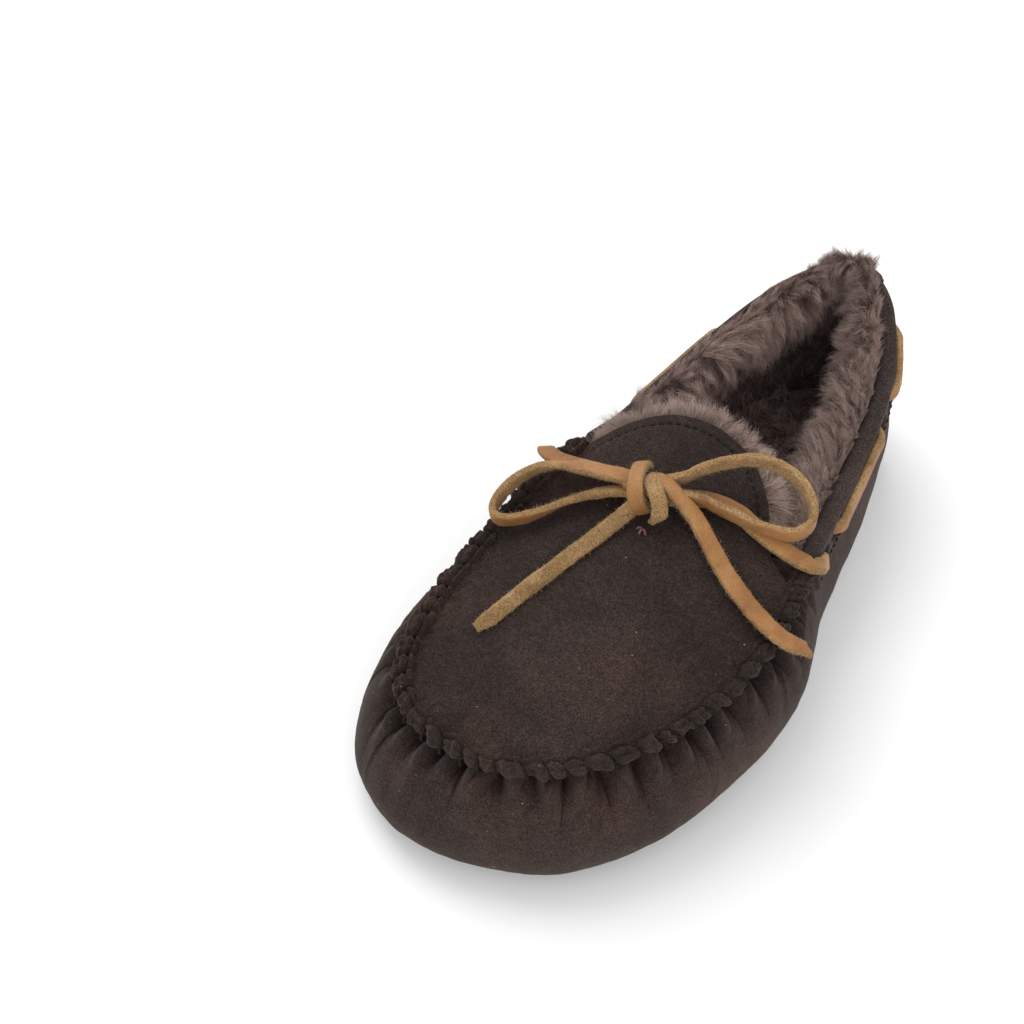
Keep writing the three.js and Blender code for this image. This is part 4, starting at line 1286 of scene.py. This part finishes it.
def grow(
    name, surface, u_range, w_range, clumps, per_clump, spread, length, rng, comb_of, body="shoe", width=0.11,
    finishes=None,
):
    """Locks of fibres on a surface: the fibres of one lock lean, bend and wave together."""
    u = rng.uniform(*u_range, clumps)
    w = rng.uniform(*w_range, clumps)
    here, along, onward, out = surface_frame(surface, u, w)
    forward, upright, reach, painted_shade = comb_of(u, w, here)
    sideways = 0.9 * noise(here, 10, 61)
    comb = unit(onward) * forward[:, None] + unit(along) * sideways[:, None]
    clump_lead = unit(out * upright[:, None] + comb + rng.normal(0, 0.2, (clumps, 3)))
    towards = unit(comb + rng.normal(0, 0.35, (clumps, 3))) - out * 0.55
    clump_bend = towards * rng.uniform(0.15, 0.5, (clumps, 1))
    wave_parts = [rng.uniform(0.9, 1.9, clumps), rng.uniform(0, 1, clumps), rng.uniform(0.35, 0.95, clumps)]
    clump_wave = np.stack(wave_parts, axis=1)
    clump_length = length * reach * rng.uniform(0.75, 1.2, clumps)
    # Each lock's tone: a random share, patches about 9 mm across whose dark ones are painted shade of
    # hollows, and the comb's painted shade.
    clump_tone_and_shade = rng.normal(0, 0.45, clumps) + 0.75 * noise(here, 9, 62) + painted_shade
    owner = np.repeat(np.arange(clumps), per_clump)
    count = len(owner)
    offset = rng.normal(0, spread, (count, 2))
    fibre_u = u[owner] + offset[:, 0] / np.linalg.norm(along[owner], axis=1)
    fibre_w = w[owner] + offset[:, 1] / np.linalg.norm(onward[owner], axis=1)
    roots = surface(fibre_u, np.clip(fibre_w, 0, 1)) - out[owner] * 0.7
    lengths = clump_length[owner] * rng.uniform(0.75, 1.1, count)
    tips = here[owner] + clump_lead[owner] * lengths[:, None]
    leads = unit(lerp(clump_lead[owner], unit(tips - roots), 0.75) + rng.normal(0, 0.07, (count, 3)))
    waves = clump_wave[owner] + rng.normal(0, 0.04, (count, 3))
    widths = width * rng.uniform(0.7, 1.2, count)
    tones = clump_tone_and_shade[owner] + rng.normal(0, 0.35, count)
    bends = clump_bend[owner]
    return strands(name, roots, leads, bends, waves, lengths, widths, tones, body, finishes=finishes)


def collar_comb(u, w, here):
    """Brushed across the top edge, hanging inside it: how far it leans and stands, its length, and its
    painted shade.
    """
    swirl = noise(here, 22, 71)
    top = 0.35 + 0.6 * np.sign(swirl) * np.abs(swirl) ** 0.4
    forward = lerp(lerp(0.95, top, smooth_step(w, 0.18, 0.32)), 0.9, smooth_step(w, 0.4, 0.7))
    upright = lerp(0.4, 0.55, smooth_step(w, 0.12, 0.3))
    heel = smooth_step(collar_share(u), 0.01, 0.1)
    corner = smooth_step(to_throat(u), THROAT_EASE, 0.05)
    upright = upright * lerp(0.4, 1, corner)
    reach = lerp(0.5, 1, smooth_step(w, 0.1, 0.3)) * lerp(0.8, 1, heel) * lerp(0.4, 1, corner)
    # painted shade: fibres darker at the back of the heel past the top edge, and further down inside the
    # collar
    painted_shade = -1.0 * (1 - heel) * smooth_step(w, 0.3, 0.5) - 0.5 * smooth_step(w, 0.45, 0.8)
    return forward, upright, reach, painted_shade


def add_collar_fleece():
    columns, rows = 420, 70
    u = np.linspace(QUARTER_FROM, QUARTER_TO, columns)[None, :]
    w = np.linspace(0, 1, rows)[:, None]
    base = make_piece("collar_fleece", fleece_surface(u, w), grid_faces(rows, columns), FLEECE)
    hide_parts("quarter_lining_lateral", "quarter_lining_medial")
    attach(base, "shoe")
    rng = np.random.default_rng(7)
    parts = 6
    span = QUARTER_TO - QUARTER_FROM
    for part in range(parts):
        start = QUARTER_FROM + span * part / parts
        limits = (start, start + span / parts)
        limits = np.clip(limits, QUARTER_FROM + 0.004, QUARTER_TO - 0.004)
        grow(f"collar_pile_{part + 1}", fleece_surface, limits, (0.07, 0.6), clumps=330, per_clump=21,
             spread=1.25, length=8.5, rng=rng, comb_of=collar_comb)
        grow(f"inner_pile_{part + 1}", fleece_surface, limits, (0.55, 0.98), clumps=130, per_clump=15,
             spread=1.9, length=8.5, rng=rng, comb_of=collar_comb, width=0.15)


def add_footbed():
    count = 220
    u = np.arange(count) / count
    outline = WIDE.at(u) - outward_in_plan(u) * FOOTBED_INSET
    shares = np.linspace(0.02, 1, 60)[:, None, None]
    points = SOLE_CENTRE + shares * (outline - SOLE_CENTRE)[None]
    top = FOOTBED_TOP + 1.2 * noise(points, 9, 81) + 0.6 * noise(points, 4, 82)
    points[..., 2] = top - 2.5 * smooth_step(shares[..., 0], 0.93, 1)
    base = make_piece("footbed", points, grid_faces(60, count, closed=True), FLEECE)
    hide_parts("footbed_fleece")
    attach(base, "shoe")


def footbed_surface(u, w):
    """The part of the footbed's top that the opening shows: u across it, w towards the heel."""
    u, w = np.broadcast_arrays(np.asarray(u, float), np.asarray(w, float))
    place = np.stack([lerp(26, -22, u), lerp(-12, 100, w), 0 * u], axis=-1)
    place[..., 2] = FOOTBED_TOP + 1.2 * noise(place, 9, 81)
    return place


def add_footbed_pile():
    rng = np.random.default_rng(23)

    def tousled(u, w, here):
        swirl = noise(here, 15, 91)
        return swirl, np.full(np.shape(u), 0.8), np.ones(np.shape(u)), np.zeros(np.shape(u))

    grow("footbed_pile", footbed_surface, (0, 1), (0, 1), clumps=420, per_clump=17, spread=1.8, length=7,
         rng=rng, comb_of=tousled, width=0.16)


def add_linings():
    """The fleece inside the toe, behind the wall and under the plug."""
    columns, rows = 240, 36
    u = np.linspace(THROAT_LATERAL - 0.01, THROAT_MEDIAL + 0.01, columns)[None, :]
    v = np.linspace(0.16, 0.86, rows)[:, None]
    points = wall_point(u + 0 * v, v + 0 * u, np.full((rows, columns), 8.0))
    points += 0.8 * noise(points, 6, 83)[..., None] * UP
    base = make_piece("toe_fleece", points, grid_faces(rows, columns), FLEECE)
    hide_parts("vamp_lining")
    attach(base, "shoe")
    outline = np.concatenate([seam_line(8, 160), tongue_line(-2, 60)[::-1][1:-1]])
    shares = np.linspace(0.02, 1, 40)
    under = plug_sheet_points(shares, outline, -7)
    under[..., 2] += 0.8 * noise(under, 6, 84) + 3.5 * smooth_step(shares, 0.93, 1)[:, None]
    base = make_piece("plug_fleece", under, grid_faces(40, len(outline), closed=True), FLEECE)
    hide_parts("plug_lining", "tongue_lining")
    bend(base)


FRINGE_FROM = 0.14        # the ends of the fringe, as shares of the tongue's edge
FRINGE_TO = 0.86
FUZZ_COUNT = 9000


def tongue_surface(u, w):
    """The strip of fleece along the tongue's edge: u along it, w outwards from under it."""
    u, w = np.broadcast_arrays(np.asarray(u, float), np.asarray(w, float))
    edge = open_curve(TONGUE_EDGE, u)
    away = unit(edge - np.array([-1.0, -6.0]))
    spot = edge + away * (w * 5 - 3.5)[..., None]
    height = dome_height(spot[..., 0], spot[..., 1]) - lerp(1.8, 4.5, w)
    return np.concatenate([spot, height[..., None]], axis=-1)


def add_tongue_fringe():
    rng = np.random.default_rng(19)

    def outward(u, w, here):
        middle = smooth_step(np.minimum(u - FRINGE_FROM, FRINGE_TO - u), 0, 0.13)
        return np.full(np.shape(u), 0.55), lerp(0.6, 0.9, middle), lerp(0.6, 1, middle), np.zeros(np.shape(u))

    grow("tongue_fringe", tongue_surface, (FRINGE_FROM, FRINGE_TO), (0.62, 1.0), clumps=400, per_clump=16,
         spread=1.5, length=8.6, rng=rng, comb_of=outward, body="tongue", finishes=FRINGE_FIBRES)


def add_bow_fuzz():
    """Short fibres that stand on the thongs' flesh side."""
    rng = np.random.default_rng(31)
    places, outs = (np.concatenate(group) for group in zip(*FUZZ))
    chosen = rng.choice(len(places), FUZZ_COUNT)
    roots, out = places[chosen], outs[chosen]
    leads = unit(out + rng.normal(0, 0.6, roots.shape))
    bends = rng.normal(0, 0.5, roots.shape)
    waves = np.stack([np.ones(len(roots)), rng.uniform(0, 1, len(roots)), np.full(len(roots), 0.1)], axis=1)
    lengths = rng.uniform(0.35, 0.95, len(roots))
    widths = np.full(len(roots), 0.045)
    tones = np.zeros(len(roots))
    fuzz = strands("bow_fuzz", roots, leads, bends, waves, lengths, widths, tones, "shoe", segments=3,
                   finishes=FUZZ_FINISHES)


add_collar_fleece()
add_footbed()
add_footbed_pile()
add_linings()
add_tongue_fringe()
add_bow_fuzz()

# ---- CAD pieces that stay, with their finishes --------------------------------------------

KEPT = {
    "bottom_filler": FOAM, "footbed_foam": FOAM, "lasting_board": BOARD, "heel_counter": BOARD,
}


def finish_kept_nodes():
    for name, material in KEPT.items():
        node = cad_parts[name]
        for index in range(len(node.material_slots)):
            node.material_slots[index].material = material


finish_kept_nodes()

# ---- the studio ---------------------------------------------------------------------------


def add_floor():
    mesh = bpy.data.meshes.new("floor")
    half = FLOOR["half"]
    corners = [(-half, -half, 0), (half, -half, 0), (half, half, 0), (-half, half, 0)]
    mesh.from_pydata(corners, [], [(0, 1, 2, 3)])
    floor = bpy.data.objects.new("floor", mesh)
    bpy.context.scene.collection.objects.link(floor)
    paint = bpy.data.materials.new("floor")
    paint.use_nodes = True
    shader = paint.node_tree.nodes["Principled BSDF"]
    shader.inputs["Base Color"].default_value = (*FLOOR["colour"], 1)
    shader.inputs["Roughness"].default_value = FLOOR["roughness"]
    mesh.materials.append(paint)


def add_light(name, place, size, energy):
    data = bpy.data.lights.new(name, "AREA")
    data.shape = "DISK"
    data.size = size
    data.energy = energy
    lamp = bpy.data.objects.new(name, data)
    lamp.location = place
    aim = Vector(LIGHT_AIM) - Vector(place)
    lamp.rotation_mode = "QUATERNION"
    lamp.rotation_quaternion = aim.to_track_quat("-Z", "Y")
    bpy.context.scene.collection.objects.link(lamp)


def add_studio():
    add_floor()
    world = bpy.data.worlds.new("studio")
    world.use_nodes = True
    background = world.node_tree.nodes["Background"]
    background.inputs["Color"].default_value = (1, 1, 1, 1)
    background.inputs["Strength"].default_value = WORLD_STRENGTH
    bpy.context.scene.world = world
    for lamp in LIGHTS:
        add_light(*lamp)
    bpy.context.scene.view_settings.view_transform = "Standard"


add_studio()
